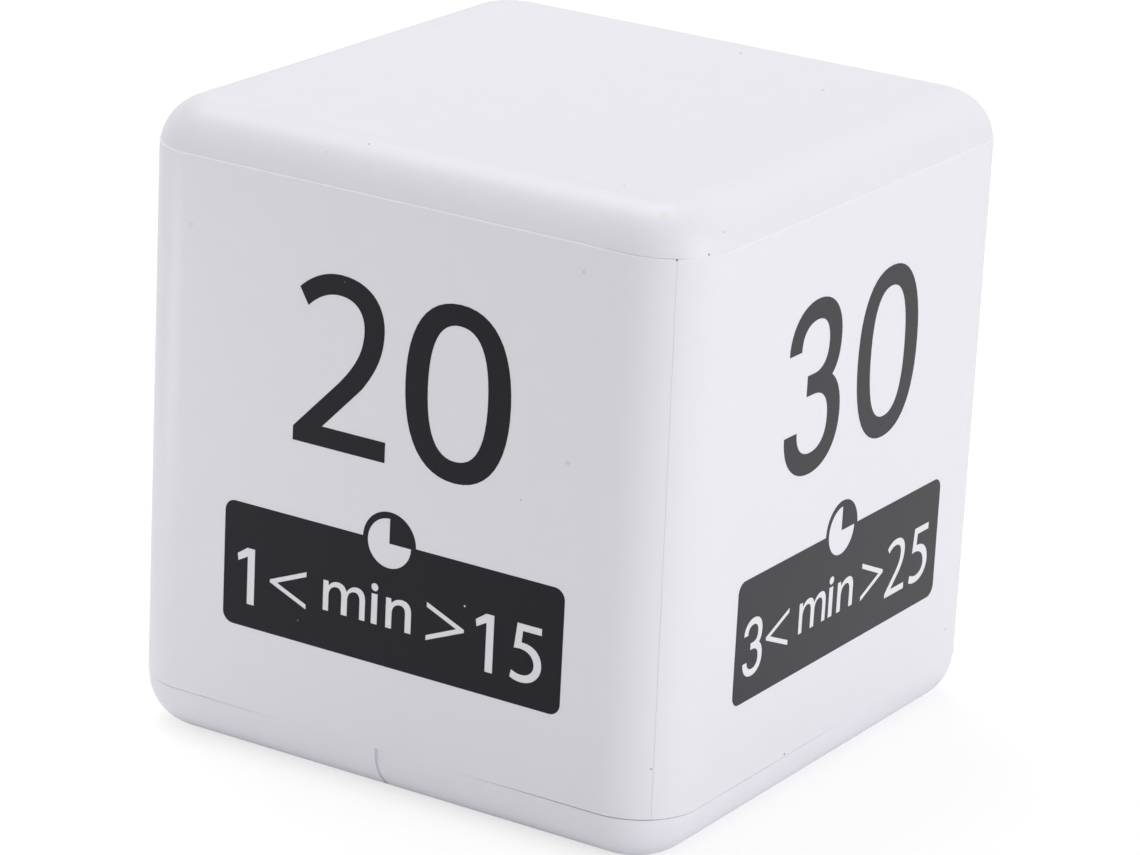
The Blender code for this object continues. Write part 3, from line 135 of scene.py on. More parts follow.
def rounded_block(half, radius, low, high, low_fillet=0.0, high_fillet=0.0, steps=CORNER_STEPS):
    """A square block with round corners, and a round rim at its foot or its head if asked for."""
    shape = block((-half, -half, low), (half, half, high))
    bevel_edges(shape, upright_edges(shape), radius, steps)
    if low_fillet:
        bevel_edges(shape, level_edges(shape, low), low_fillet, FILLET_STEPS)
    if high_fillet:
        bevel_edges(shape, level_edges(shape, high), high_fillet, FILLET_STEPS)
    return shape


def turned(profile, steps):
    """A solid turned round Z, from its profile of (radius, height) points."""
    shape = bmesh.new()
    corners = [shape.verts.new((radius, 0, height)) for radius, height in profile]
    lines = [shape.edges.new(pair) for pair in zip(corners, corners[1:])]
    bmesh.ops.spin(
        shape, geom=corners + lines, cent=(0, 0, 0), axis=(0, 0, 1), angle=math.tau, steps=steps,
        use_merge=True,
    )
    bmesh.ops.remove_doubles(shape, verts=shape.verts, dist=WELD)
    bmesh.ops.recalc_face_normals(shape, faces=shape.faces)
    return shape


def rod(radius, low, high, steps):
    return turned(((0, low), (radius, low), (radius, high), (0, high)), steps)


def placed(shape, point, turn=0.0):
    shape.transform(Matrix.Translation(point) @ Matrix.Rotation(turn, 4, "Z"))
    return shape


def combined(body, shapes, operation):
    """Joins shapes to the body, or cuts them out of it."""
    tools = []
    for shape in shapes:
        tool = new_object("tool", shape) if isinstance(shape, bmesh.types.BMesh) else shape
        step = body.modifiers.new("step", "BOOLEAN")
        step.operation = operation
        step.solver = "EXACT"
        step.object = tool
        tools.append(tool)
    bpy.context.view_layer.update()
    worked = body.evaluated_get(bpy.context.evaluated_depsgraph_get())
    mesh = bpy.data.meshes.new_from_object(worked)
    body.modifiers.clear()
    body.data = mesh
    for tool in tools:
        bpy.data.objects.remove(tool)
    return body


def cut(body, *shapes):
    return combined(body, shapes, "DIFFERENCE")


def joined(body, *shapes):
    return combined(body, shapes, "UNION")


# The gaps and lines between the pieces
HAIRLINE = 0.00004
LABEL_EDGE = 0.0001
TOP_GAP = 0.000004
TOP_CORNER_GAP = 0.00003
TOP_SIDE_GAP = 0.000002
TOP_RANGE = (0.8, 1.0)
FOOT_GAP = 0.000004
FOOT_CORNER_GAP = 0.00012
FOOT_LEFT_GAP = 0.00008
FOOT_RANGE = (0.0, 1.0)
FOOT_SIDE_GAP = 0.000096
FOOT_SIDE_RANGE = (-0.8, 0.2)
LABEL_STATIONS = (0.1, 0.2, 0.3, 0.4, 0.5, 0.6, 0.7, 0.8, 0.9, 0.95)
LABEL_STEPS = 24
SEAM_HALF = 0.000008
SEAM_LEAN = 0.00058
SEAM_NOTCH = 0.00008
DOOR_GAP = 0.00015
DOOR_STEP = 0.00026
DOOR_STEP_DEPTH = 0.00018
INK_FILM = 0.00002
INK_DEPTH = 0.00006

# The shells: the lip, the door's edge and the partition beside it
LAP = OVERRUN / 4
REACH = LABEL_HALF + OVERRUN
INSIDE = CAVITY_HALF + WALL / 2
FOOT_STRAIGHT = RIM_HALF - RIM_RADIUS
LIP_THICKNESS = 0.0009
DOOR_EDGE = -0.00045
FIXED_EDGE = DOOR_EDGE + DOOR_GAP
PARTITION_THICKNESS = 0.0015
PARTITION_LEFT = DOOR_EDGE + 2 * CLEARANCE
PARTITION_RIGHT = PARTITION_LEFT + PARTITION_THICKNESS
PARTITION_MIDDLE = (PARTITION_LEFT + PARTITION_RIGHT) / 2
KEEL_INSET = 0.0004
KEEL_HALF = CAVITY_HALF - CAVITY_FILLET / 2

# The battery bay: its walls, rails, webs, saddles and ceiling
CELL_RADIUS = (CELL_BOXES[0][1].x - CELL_BOXES[0][0].x) / 2
CELL_AXES = [(low + high) / 2 for low, high in CELL_BOXES]
RAIL_BOTTOM = 0.0026
RAIL_TOP = 0.0034
BAY_WALL = 0.0015
BAY_INSET_LEFT = 0.0031
BAY_INSET_SIDE = 0.00245
BAY_LEFT = -(CAVITY_HALF - BAY_INSET_LEFT)
BAY_HALF = CAVITY_HALF - BAY_INSET_SIDE
BAY_OUTER = BAY_HALF + BAY_WALL
CELL_HEADROOM = 0.00075
CEILING_THICKNESS = 0.0015
PARTITION_LAP = 0.0010
WALL_LAP = 0.00075
SADDLE_LAP = 0.0005
BAY_TOP = CELL_AXES[0].z + CELL_RADIUS + CELL_HEADROOM
CEILING_TOP = BAY_TOP + CEILING_THICKNESS
PARTITION_HEAD = BAY_TOP + PARTITION_LAP
WALL_FOOT = RAIL_TOP + CLEARANCE
WALL_HEAD = BAY_TOP + WALL_LAP
SADDLE_HEAD = BAY_TOP + SADDLE_LAP
RAIL_INSET = 0.0005
RAIL_FLANGE = 0.0008
RAIL_SPAN = (BAY_HALF + RAIL_INSET, BAY_OUTER + RAIL_FLANGE)
WEB_BOTTOM = 0.0030
WEB_TOP = 0.0050
WEB_SPAN = (BAY_HALF + BAY_WALL / 2, BAY_HALF + BAY_WALL * 3 / 4)
SADDLE_PLACE = 0.0120
SADDLE_HALF = 0.00075
SADDLE_DEPTH = 0.0040
SADDLE_BORE = SADDLE_PLACE + 2 * SADDLE_HALF

# Screws, sounder and switch
BOSS_TOP = PARTING - CLEARANCE - OVERRUN
SCREW_HEAD = 0.0018
SEAT = SCREW_BOXES[0][0].z + SCREW_HEAD + CLEARANCE
BOSS_RADIUS = 0.0042
HEAD_BORE = 0.0028
SCREW_BORE = 0.0016
PILOT_LENGTH = 0.0183
CAP_BOSS_RADIUS = 0.0032
BOARD_THICKNESS = 0.0015
POST_RADIUS = 0.0024
POST_BORE = 0.0013
POST_BORE_DEPTH = 0.0044
WELL_RADIUS = (DISC_BOX[1].x - DISC_BOX[0].x) / 2 + CLEARANCE
WELL_WALL = 0.0012
WELL_RISE = 0.0018
SOUND_HOLES = 6
SOUND_CIRCLE = 0.0040
SOUND_BORE = 0.00075
SLIDER_TRAVEL = 0.0020
SLOT_HALF = (0.0012, 0.0025)
RECESS_HALF = (0.0024, 0.0037)
RECESS_DEPTH = 0.0009
RECESS_CORNER = 0.0012
CONTACT_SLOT_HALF = (0.0015, 0.0005)

# The door: its inner fillet, runners, hooks, ribs and grips
DOOR_FILLET = 0.0015
RUNNER_DEPTH = 0.0012
RUNNER_INSET = 0.00175
RUNNER_LOW = RAIL_TOP + CLEARANCE
RUNNER_HEIGHT = 0.0010
HOOK_PLACE = 0.0150
HOOK_HALF = 0.0030
HOOK_THICKNESS = 0.0008
HOOK_LOW = WALL + CLEARANCE
HOOK_HIGH = HOOK_LOW + HOOK_THICKNESS
HOOK_ROOT = 0.0030
HOOK_NECK = 0.0015
HOOK_SLOT_HALF = HOOK_HALF + CLEARANCE
HOOK_SLOT_LIFT = 0.0001
HOOK_SLOT_LOW = WALL + HOOK_SLOT_LIFT
RIB_HALF = 0.0005
RIB_REACH = 0.0180
RIB_HEIGHT = 0.0008
RIB_TOP = WALL + RIB_HEIGHT
GRIPS = 4
GRIP_INSET = 0.0080
GRIP_PITCH = 0.0020
GRIP_WIDTH = 0.0010
GRIP_HALF = 0.0080
GRIP_DEPTH = 0.0005


def centre(box):
    return (box[0] + box[1]) / 2


def floor_place(box):
    """The place on the floor under a box's middle."""
    return Vector((centre(box).x, centre(box).y, 0))


def mirrored(span):
    """A span on the positive side of Y as the pair on both sides, each with its low end first."""
    return [sorted((side * span[0], side * span[1])) for side in (-1, 1)]


BOSS_PLACES = [floor_place(box) for box in SCREW_BOXES]
POST_PLACES = [floor_place(box) for box in POST_BOXES]
SOUNDER_PLACE = floor_place(DISC_BOX)
KNOB_PLACE = floor_place(SLIDER_BOX) + Vector((0, SLIDER_TRAVEL / 2, 0))


def sound_hole_places():
    turns = [index * math.tau / SOUND_HOLES for index in range(SOUND_HOLES)]
    circle = [SOUND_CIRCLE * Vector((math.cos(turn), math.sin(turn), 0)) for turn in turns]
    return [SOUNDER_PLACE] + [SOUNDER_PLACE + step for step in circle]


def bay_inner_parts():
    """The partition and its keel, the door's rails, their webs and the cells' saddles."""
    parts = [
        block((PARTITION_LEFT, -INSIDE, RAIL_BOTTOM), (PARTITION_RIGHT, INSIDE, PARTITION_HEAD)),
        block(
            (PARTITION_LEFT + KEEL_INSET, -KEEL_HALF, WALL / 2),
            (PARTITION_RIGHT - KEEL_INSET, KEEL_HALF, RAIL_TOP),
        ),
    ]
    saddles = mirrored((SADDLE_PLACE - SADDLE_HALF, SADDLE_PLACE + SADDLE_HALF))
    for rail, web, saddle in zip(mirrored(RAIL_SPAN), mirrored(WEB_SPAN), saddles):
        for left, span, foot, head in (
            (-FOOT_STRAIGHT, rail, RAIL_BOTTOM, RAIL_TOP),
            (BAY_WALL - FOOT_STRAIGHT, web, WEB_BOTTOM, WEB_TOP),
            (BAY_LEFT - BAY_WALL / 2, saddle, BAY_TOP - SADDLE_DEPTH, SADDLE_HEAD),
        ):
            parts.append(block((left, span[0], foot), (PARTITION_MIDDLE, span[1], head)))
    return parts


def bay_shell():
    """The bay's walls, and its ceiling over the left half."""
    outside = block((BAY_LEFT - BAY_WALL, -BAY_OUTER, WALL_FOOT), (PARTITION_MIDDLE, BAY_OUTER, WALL_HEAD))
    walls = new_object("bay_walls", outside)
    cut(walls, block((BAY_LEFT, -BAY_HALF, 0), (PARTITION_RIGHT, BAY_HALF, CEILING_TOP)))
    radius = CAVITY_RADIUS + WALL / 2
    ceiling = new_object("bay_ceiling", rounded_block(INSIDE, radius, BAY_TOP, CEILING_TOP))
    cut(ceiling, block((PARTITION_RIGHT + CLEARANCE, -REACH, 0), (REACH, REACH, CUBE_TOP)))
    return walls, ceiling


def cell_bores():
    """What the saddles leave open for the cells."""
    bores = []
    for axis in CELL_AXES:
        bore = rod(CELL_RADIUS + CLEARANCE, -SADDLE_BORE, SADDLE_BORE, steps=64)
        bore.transform(Matrix.Rotation(math.pi / 2, 4, "X"))
        bores.append(placed(bore, (axis.x, 0, axis.z)))
    return bores


def bosses_and_well():
    """The screws' bosses, the board's posts and the ring wall round the sounder."""
    low, post_top = WALL / 2, BOARD_TOP - BOARD_THICKNESS
    parts = [placed(rod(BOSS_RADIUS, low, BOSS_TOP, steps=48), place) for place in BOSS_PLACES]
    parts += [placed(rod(POST_RADIUS, low, post_top, steps=40), place) for place in POST_PLACES]
    outer, high = WELL_RADIUS + WELL_WALL, WALL + WELL_RISE
    ring = ((outer, low), (outer, high), (WELL_RADIUS, high), (WELL_RADIUS, low), (outer, low))
    return parts + [placed(turned(ring, steps=64), SOUNDER_PLACE)]


def base_holes():
    """The bores, the sound holes, the switch's slot and recess, and the slots for hooks and contacts."""
    holes = []
    for place in BOSS_PLACES:
        holes.append(placed(rod(HEAD_BORE, -OVERRUN, SEAT, steps=56), place))
        holes.append(placed(rod(SCREW_BORE, SEAT - OVERRUN, BOSS_TOP + OVERRUN, steps=32), place))
    for place in POST_PLACES:
        holes.append(placed(rod(POST_BORE, BOARD_TOP - POST_BORE_DEPTH, BOARD_TOP, steps=28), place))
    for place in sound_hole_places():
        holes.append(placed(rod(SOUND_BORE, -OVERRUN, WALL + OVERRUN, steps=28), place))
    wide, long = SLOT_HALF
    holes.append(placed(block((-wide, -long, -OVERRUN), (wide, long, WALL + OVERRUN)), KNOB_PLACE))
    wide, long = RECESS_HALF
    recess = block((-wide, -long, -OVERRUN), (wide, long, RECESS_DEPTH))
    bevel_edges(recess, upright_edges(recess), RECESS_CORNER, steps=10)
    holes.append(placed(recess, KNOB_PLACE))
    left, right = PARTITION_LEFT - OVERRUN, PARTITION_RIGHT + OVERRUN
    for low, high in mirrored((HOOK_PLACE - HOOK_SLOT_HALF, HOOK_PLACE + HOOK_SLOT_HALF)):
        holes.append(block((left, low, HOOK_SLOT_LOW), (right, high, RAIL_TOP)))
    wide, long = CONTACT_SLOT_HALF
    for place in [floor_place(box) for box in TAB_BOXES]:
        slot = block((-wide, -long, BAY_TOP - CLEARANCE), (wide, long, CEILING_TOP + OVERRUN))
        holes.append(placed(slot, place))
    return holes


def lower_shell():
    """The base: rim, waist and lip, the battery bay, the bosses and posts, and every hole."""
    body = new_object("base_shell", rounded_block(RIM_HALF, RIM_RADIUS, 0, LEDGE_LOW, low_fillet=RIM_FILLET))
    waist = rounded_block(WAIST_HALF, WAIST_RADIUS, LEDGE_LOW - LAP, PARTING - CLEARANCE)
    lip_half, lip_radius = CAVITY_HALF + LIP_THICKNESS, CAVITY_RADIUS + LIP_THICKNESS
    joined(body, waist, rounded_block(lip_half, lip_radius, PARTING - OVERRUN, LIP_TOP))
    over_lip = LIP_TOP + OVERRUN
    hollow = rounded_block(CAVITY_HALF, CAVITY_RADIUS, WALL, over_lip, low_fillet=CAVITY_FILLET)
    cut(body, hollow, block((-REACH, -REACH, -OVERRUN), (FIXED_EDGE, REACH, LABEL_BOTTOM)))
    joined(body, *bay_inner_parts())
    joined(body, *bay_shell())
    cut(body, *cell_bores())
    joined(body, *bosses_and_well())
    return shade(cut(body, *base_holes()))


def upper_shell():
    """The cap: its round rim, the waist under the label, the groove for the lip and the screw bosses."""
    low = CUBE_TOP - RIM_FILLET - OVERRUN
    cap = rounded_block(CAP_HALF, CAP_RADIUS, low, CUBE_TOP, high_fillet=RIM_FILLET)
    body = new_object("cap_shell", cap)
    cut(body, block((-REACH, -REACH, 0), (REACH, REACH, LEDGE_HIGH)))
    joined(body, rounded_block(WAIST_HALF, WAIST_RADIUS, PARTING, LEDGE_HIGH + LAP))
    low, under_top = PARTING - OVERRUN, CUBE_TOP - WALL
    hollow = rounded_block(CAVITY_HALF, CAVITY_RADIUS, low, under_top, high_fillet=CAVITY_FILLET)
    grown = LIP_THICKNESS + CLEARANCE
    groove = rounded_block(CAVITY_HALF + grown, CAVITY_RADIUS + grown, low, LIP_TOP + CLEARANCE)
    cut(body, hollow, groove)
    low, high = BOSS_TOP + CLEARANCE, under_top + WALL / 2
    joined(body, *[placed(rod(CAP_BOSS_RADIUS, low, high, steps=40), place) for place in BOSS_PLACES])
    low, high = BOSS_TOP, SEAT + PILOT_LENGTH
    return shade(cut(body, *[placed(rod(SCREW_BORE, low, high, steps=28), place) for place in BOSS_PLACES]))


def door_groove():
    """What the door's edge loses outside, so that its split shows as a soft groove."""
    outside = block((DOOR_EDGE - DOOR_STEP, -REACH, -OVERRUN), (REACH, REACH, REACH))
    inset = DOOR_STEP_DEPTH
    half, radius, fillet = RIM_HALF - inset, RIM_RADIUS - inset, RIM_FILLET - inset
    kept = rounded_block(half, radius, inset, REACH + OVERRUN, low_fillet=fillet)
    return cut(new_object("door_groove", outside), kept)


def battery_door():
    """The left half of the base's rim and floor, with runners, hooks, ribs under the cells and grips."""
    body = new_object("door_shell", rounded_block(RIM_HALF, RIM_RADIUS, 0, LEDGE_LOW, low_fillet=RIM_FILLET))
    half, radius = RIM_HALF - WALL, RIM_RADIUS - WALL
    hollow = rounded_block(half, radius, WALL, LEDGE_LOW + OVERRUN, low_fillet=DOOR_FILLET)
    cut(body, hollow, block((DOOR_EDGE, -REACH, -OVERRUN), (REACH, REACH, REACH)), door_groove())
    runners = mirrored((half - RUNNER_DEPTH, half + WALL / 2))
    hooks = mirrored((HOOK_PLACE - HOOK_HALF, HOOK_PLACE + HOOK_HALF))
    parts = []
    for side, runner, hook in zip((-1, 1), runners, hooks):
        parts.append(
            block(
                (RUNNER_INSET - FOOT_STRAIGHT, runner[0], RUNNER_LOW),
                (DOOR_EDGE - RUNNER_INSET, runner[1], RUNNER_LOW + RUNNER_HEIGHT),
            )
        )
        parts.append(block((DOOR_EDGE - HOOK_ROOT, hook[0], WALL / 2), (DOOR_EDGE, hook[1], HOOK_HIGH)))
        parts.append(block((DOOR_EDGE - HOOK_NECK, hook[0], HOOK_LOW), (HOOK_TIP, hook[1], HOOK_HIGH)))
        for axis in CELL_AXES:
            x = axis.x + side * CELL_RADIUS / 2
            parts.append(block((x - RIB_HALF, -RIB_REACH, WALL / 2), (x + RIB_HALF, RIB_REACH, RIB_TOP)))
    joined(body, *parts)
    grips = []
    for index in range(GRIPS):
        left = GRIP_INSET - RIM_HALF + index * GRIP_PITCH
        grips.append(block((left, -GRIP_HALF, -OVERRUN), (left + GRIP_WIDTH, GRIP_HALF, GRIP_DEPTH)))
    return shade(cut(body, *grips))


def split_at_stations(body, straight):
    """Adds upright edges along the flat sides, so that the sheet's rims can bend there."""
    shape = bmesh.new()
    shape.from_mesh(body.data)
    for share in LABEL_STATIONS:
        for place in (-share * straight, share * straight):
            for axis in (Vector((1, 0, 0)), Vector((0, 1, 0))):
                parts = shape.verts[:] + shape.edges[:] + shape.faces[:]
                bmesh.ops.bisect_plane(shape, geom=parts, dist=WELD, plane_co=axis * place, plane_no=axis)
    shape.to_mesh(body.data)
    shape.free()


def smooth_step(value, low, high):
    share = min(max((value - low) / (high - low), 0.0), 1.0)
    return share * share * (3 - 2 * share)


def ease_rims(body, straight):
    """Opens the lines over and under the sheet by a hair, more towards the seam's corner."""
    for vert in body.data.vertices:
        along = min(abs(vert.co.x), -vert.co.y) / straight
        on_right = vert.co.x > -vert.co.y
        if vert.co.z < CUBE_TOP / 2 and on_right:
            vert.co.z += FOOT_SIDE_GAP * smooth_step(-vert.co.y / straight, *FOOT_SIDE_RANGE)
        elif vert.co.z < CUBE_TOP / 2:
            gap = FOOT_CORNER_GAP if vert.co.x > 0 else FOOT_LEFT_GAP
            vert.co.z += gap * smooth_step(along, *FOOT_RANGE)
        elif vert.co.x > 0:
            gap = TOP_SIDE_GAP if on_right else TOP_CORNER_GAP
            vert.co.z -= gap * smooth_step(along, *TOP_RANGE)


def label_sheet():
    """The sheet round the four sides, with its leaning seam on the front right corner."""
    half, radius = LABEL_HALF - INK_FILM, CORNER_RADIUS - INK_FILM
    low, high = LEDGE_LOW + FOOT_GAP, LEDGE_HIGH - TOP_GAP
    sheet = rounded_block(half, radius, low, high, steps=LABEL_STEPS)
    bevel_edges(sheet, level_edges(sheet, high), LABEL_EDGE, steps=1)
    body = new_object("label_sheet", sheet)
    under, over = low - OVERRUN, high + OVERRUN
    room = rounded_block(WAIST_HALF + HAIRLINE, WAIST_RADIUS, under, over, steps=LABEL_STEPS)
    near = WAIST_HALF - OVERRUN
    seam = block((near, -SEAM_HALF, under), (CUBE_TOP, SEAM_HALF, over))
    notch = block((near, -SEAM_NOTCH, high - 2 * SEAM_NOTCH), (CUBE_TOP, SEAM_NOTCH, CUBE_TOP))
    for shape in (seam, notch):
        for vert in shape.verts:
            vert.co.y -= SEAM_LEAN * (vert.co.z > CUBE_TOP / 2)
        placed(shape, (0, 0, 0), turn=-math.pi / 4)
    cut(body, room, seam, notch)
    split_at_stations(body, half - radius)
    ease_rims(body, half - radius)
    return shade(body)


# The cells and their springs
CELL_SHOULDER = 0.0005
SHOULDER_END = 0.0007
CELL_ROLL = 0.00015
ROLL_END = 0.0003
CELL_RIM = CELL_RADIUS - CELL_SHOULDER
CELL_CRIMP = 0.0006
CELL_SLOPE = 0.0002
NUB_RADIUS = 0.0019
NUB_LENGTH = 0.0010
NUB_FOOT = 0.0003
NUB_CHAMFER = 0.0002
SPRING_TURNS = 4
SPRING_WIRE = 0.0003
SPRING_RADII = (0.0034, 0.0024)
SPRING_STEPS = 48
WIRE_STEPS = 12


def battery_cell(index, plus_side):
    """A cell along Y: its jacket rolls over the can's ends, with the plus end towards plus_side."""
    axis, box = CELL_AXES[index], CELL_BOXES[index]
    length = box[1].y - box[0].y
    top = length - NUB_LENGTH
    round_in, crimp = CELL_SHOULDER / 2, CELL_RIM - CELL_CRIMP
    profile = (
        (0, 0), (crimp - CELL_SLOPE, 0), (crimp, round_in), (CELL_RIM, round_in),
        (CELL_RADIUS - CELL_ROLL, ROLL_END), (CELL_RADIUS, SHOULDER_END),
        (CELL_RADIUS, top - SHOULDER_END), (CELL_RADIUS - CELL_ROLL, top - ROLL_END),
        (CELL_RIM, top - round_in / 2), (crimp + CELL_SLOPE, top - round_in / 2),
        (crimp, top - CELL_SHOULDER), (NUB_RADIUS + NUB_FOOT, top - CELL_SHOULDER),
        (NUB_RADIUS, top - round_in), (NUB_RADIUS, length - NUB_CHAMFER),
        (NUB_RADIUS - NUB_CHAMFER, length), (0, length),
    )
    shape = turned(profile, steps=96)
    shape.transform(Matrix.Rotation(-plus_side * math.pi / 2, 4, "X"))
    start = box[0].y if plus_side > 0 else box[1].y
    return shade(new_object("cell", placed(shape, (axis.x, start, axis.z))))


def wound(points, ways):
    """The spring's wire through points; ways gives each point's direction away from the winding's axis."""
    shape = bmesh.new()
    across = Vector((0, 1, 0))
    turns = [math.tau * index / WIRE_STEPS for index in range(WIRE_STEPS)]
    rings = []
    for point, way in zip(points, ways):
        spokes = [math.cos(turn) * way + math.sin(turn) * across for turn in turns]
        rings.append([shape.verts.new(point + SPRING_WIRE * spoke) for spoke in spokes])
    for first, second in zip(rings, rings[1:]):
        for index in range(WIRE_STEPS):
            after = (index + 1) % WIRE_STEPS
            shape.faces.new((first[index], first[after], second[after], second[index]))
    shape.faces.new(rings[0][::-1])
    shape.faces.new(rings[-1])
    bmesh.ops.recalc_face_normals(shape, faces=shape.faces)
    return shape


def coil_spring(index, base_side):
    """A cone spring along Y, behind the cell of the same index, that starts flat on its contact plate."""
    axis, box = CELL_AXES[index], SPRING_BOXES[index]
    base = box[1].y if base_side > 0 else box[0].y
    rise = box[1].y - box[0].y - 2 * SPRING_WIRE
    wide, narrow = SPRING_RADII
    points, ways = [], []
    count = SPRING_TURNS * SPRING_STEPS
    for step in range(count + 1):
        share = step / count
        turn = share * SPRING_TURNS * math.tau
        way = Vector((math.cos(turn), 0, math.sin(turn)))
        along = base - base_side * (SPRING_WIRE + rise * share)
        points.append(Vector((axis.x, along, axis.z)) + (wide + (narrow - wide) * share) * way)
        ways.append(way)
    return shade(new_object("spring", wound(points, ways)))


# Print on the label. Glyph outlines are in print units, 20 to the millimetre, x to the right and y down.
# A point is (x, y); a curve is (x1, y1, x2, y2, x, y) with its two handles first.
UNIT = 0.001 / 20
PRINT_MIDDLE = 620
CURVE_STEPS = 12
CORNER_ARC_STEPS = 8
DIAL_ARC_STEPS = 60
CLOSED = 0.5
DIGIT_ZERO = (
    ((531, 22), (606, 22, 648, 83, 648, 194), (648, 305, 606, 367, 531, 367),
     (456, 367, 415, 305, 415, 194), (415, 83, 456, 22, 531, 22)),
    ((531, 63), (576, 63, 598, 106, 598, 194), (598, 282, 576, 325, 531, 325),
     (487, 325, 465, 282, 465, 194), (465, 106, 487, 63, 531, 63)),
)
DIGIT_ONE = (
    ((68, 604), (86, 604), (86, 718), (69, 718), (69, 622), (47, 634), (45, 620)),
)
DIGIT_TWO = (
    ((172, 60), (199, 34, 231, 20, 265, 20), (326, 20, 365, 56, 365, 112), (365, 158, 348, 192, 318, 232),
     (231, 323), (375, 323), (375, 363), (165, 363), (165, 335), (266, 230), (300, 192, 320, 160, 320, 118),
     (320, 82, 298, 60, 262, 60), (236, 60, 213, 72, 192, 93)),
)
DIGIT_THREE = (
    ((148, 115), (148, 60, 190, 22, 247, 22), (305, 22, 342, 60, 342, 112), (342, 146, 334, 170, 314, 186),
     (340, 203, 351, 232, 351, 265), (351, 326, 310, 367, 247, 367), (188, 367, 146, 330, 146, 273),
     (192, 273), (192, 305, 213, 325, 247, 325), (285, 325, 304, 301, 304, 266),
     (304, 229, 285, 209, 245, 209), (221, 209), (221, 168), (245, 168), (279, 168, 296, 149, 296, 115),
     (296, 82, 278, 63, 247, 63), (213, 63, 193, 82, 193, 115)),
)
DIGIT_FOUR = (
    ((262, 22), (312, 22), (312, 243), (360, 243), (360, 281), (312, 281), (312, 363), (266, 363),
     (266, 281), (120, 281), (120, 247)),
    ((266, 243), (266, 80), (163, 243)),
)
DIGIT_FIVE = (
    ((684, 603), (738, 603), (738, 617), (697, 617), (695, 640), (723, 639, 740, 656, 740, 679),
     (740, 703, 720, 719, 696, 719), (687, 719, 678, 717, 671, 713), (674, 698),
     (682, 702, 689, 704, 696, 704), (711, 704, 723, 695, 723, 681), (723, 665, 710, 653, 690, 653),
     (678, 654)),
)
DIGIT_SIX = (
    ((632, 22), (632, 62), (545, 62, 485, 110, 468, 187), (483, 166, 508, 154, 538, 154),
     (604, 154, 648, 192, 648, 257), (648, 322, 602, 367, 533, 367), (460, 367, 418, 316, 418, 228),
     (418, 100, 500, 22, 632, 22)),
    ((533, 194), (494, 194, 466, 216, 466, 252), (466, 300, 492, 327, 533, 327),
     (574, 327, 600, 302, 600, 260), (600, 218, 574, 194, 533, 194)),
)
LETTER_M = (
    ((246, 625), (258, 625), (259, 634), (264, 627, 271, 623, 280, 623), (290, 623, 297, 628, 300, 637),
     (306, 628, 314, 623, 323, 623), (337, 623, 343, 632, 343, 648), (343, 686), (330, 686), (330, 650),
     (330, 640, 326, 634, 319, 634), (308, 634, 302, 642, 302, 654), (302, 686), (288, 686), (288, 650),
     (288, 640, 284, 634, 277, 634), (266, 634, 259, 642, 259, 654), (259, 686), (246, 686)),
)
LETTER_I = (
    ((357, 625), (371, 625), (371, 686), (357, 686)),
    ((364, 604), (368.5, 604, 372, 607.5, 372, 612), (372, 616.5, 368.5, 620, 364, 620),
     (359.5, 620, 356, 616.5, 356, 612), (356, 607.5, 359.5, 604, 364, 604)),
)
LETTER_N = (
    ((390, 625), (402, 625), (403, 634), (409, 627, 417, 623, 427, 623), (441, 623, 448, 632, 448, 648),
     (448, 686), (434, 686), (434, 651), (434, 640, 430, 635, 422, 635), (411, 635, 404, 643, 404, 655),
     (404, 686), (390, 686)),
)
BEFORE_SIGN = (((207, 620), (207, 630), (139, 658), (207, 686), (207, 696), (122, 661), (122, 655)),)
AFTER_SIGN = (((482, 612), (482, 622), (549, 650), (482, 678), (482, 688), (567, 653), (567, 647)),)
GLYPHS = {
    "0": DIGIT_ZERO, "1": DIGIT_ONE, "2": DIGIT_TWO, "3": DIGIT_THREE, "4": DIGIT_FOUR, "5": DIGIT_FIVE,
    "6": DIGIT_SIX, "m": LETTER_M, "i": LETTER_I, "n": LETTER_N, "<": BEFORE_SIGN, ">": AFTER_SIGN,
}


def traced(loop):
    """The points of an outline, with its curves followed in short steps."""
    points = []
    for mark in loop:
        if len(mark) == 2:
            points.append(Vector(mark))
            continue
        start, first, second, end = points[-1], Vector(mark[0:2]), Vector(mark[2:4]), Vector(mark[4:6])
        for step in range(1, CURVE_STEPS + 1):
            t = step / CURVE_STEPS
            u = 1 - t
            points.append(start * u ** 3 + first * 3 * t * u ** 2 + second * 3 * t * t * u + end * t ** 3)
    if (points[0] - points[-1]).length < CLOSED:
        points.pop()
    return points


def glyph(letter, left, top, right, bottom):
    """A glyph's outlines, fitted to a box."""
    loops = [traced(loop) for loop in GLYPHS[letter]]
    every = [point for loop in loops for point in loop]
    low_x, high_x = min(point.x for point in every), max(point.x for point in every)
    low_y, high_y = min(point.y for point in every), max(point.y for point in every)
    wide, tall = (right - left) / (high_x - low_x), (bottom - top) / (high_y - low_y)
    return [
        [Vector((left + (point.x - low_x) * wide, top + (point.y - low_y) * tall)) for point in loop]
        for loop in loops
    ]


def arc(middle, radius, start, end, steps):
    """Points round a circle, with the angles in degrees, anticlockwise as the print is seen."""
    turns = [math.radians(start + (end - start) * step / steps) for step in range(steps + 1)]
    return [Vector(middle) + radius * Vector((math.cos(turn), -math.sin(turn))) for turn in turns]


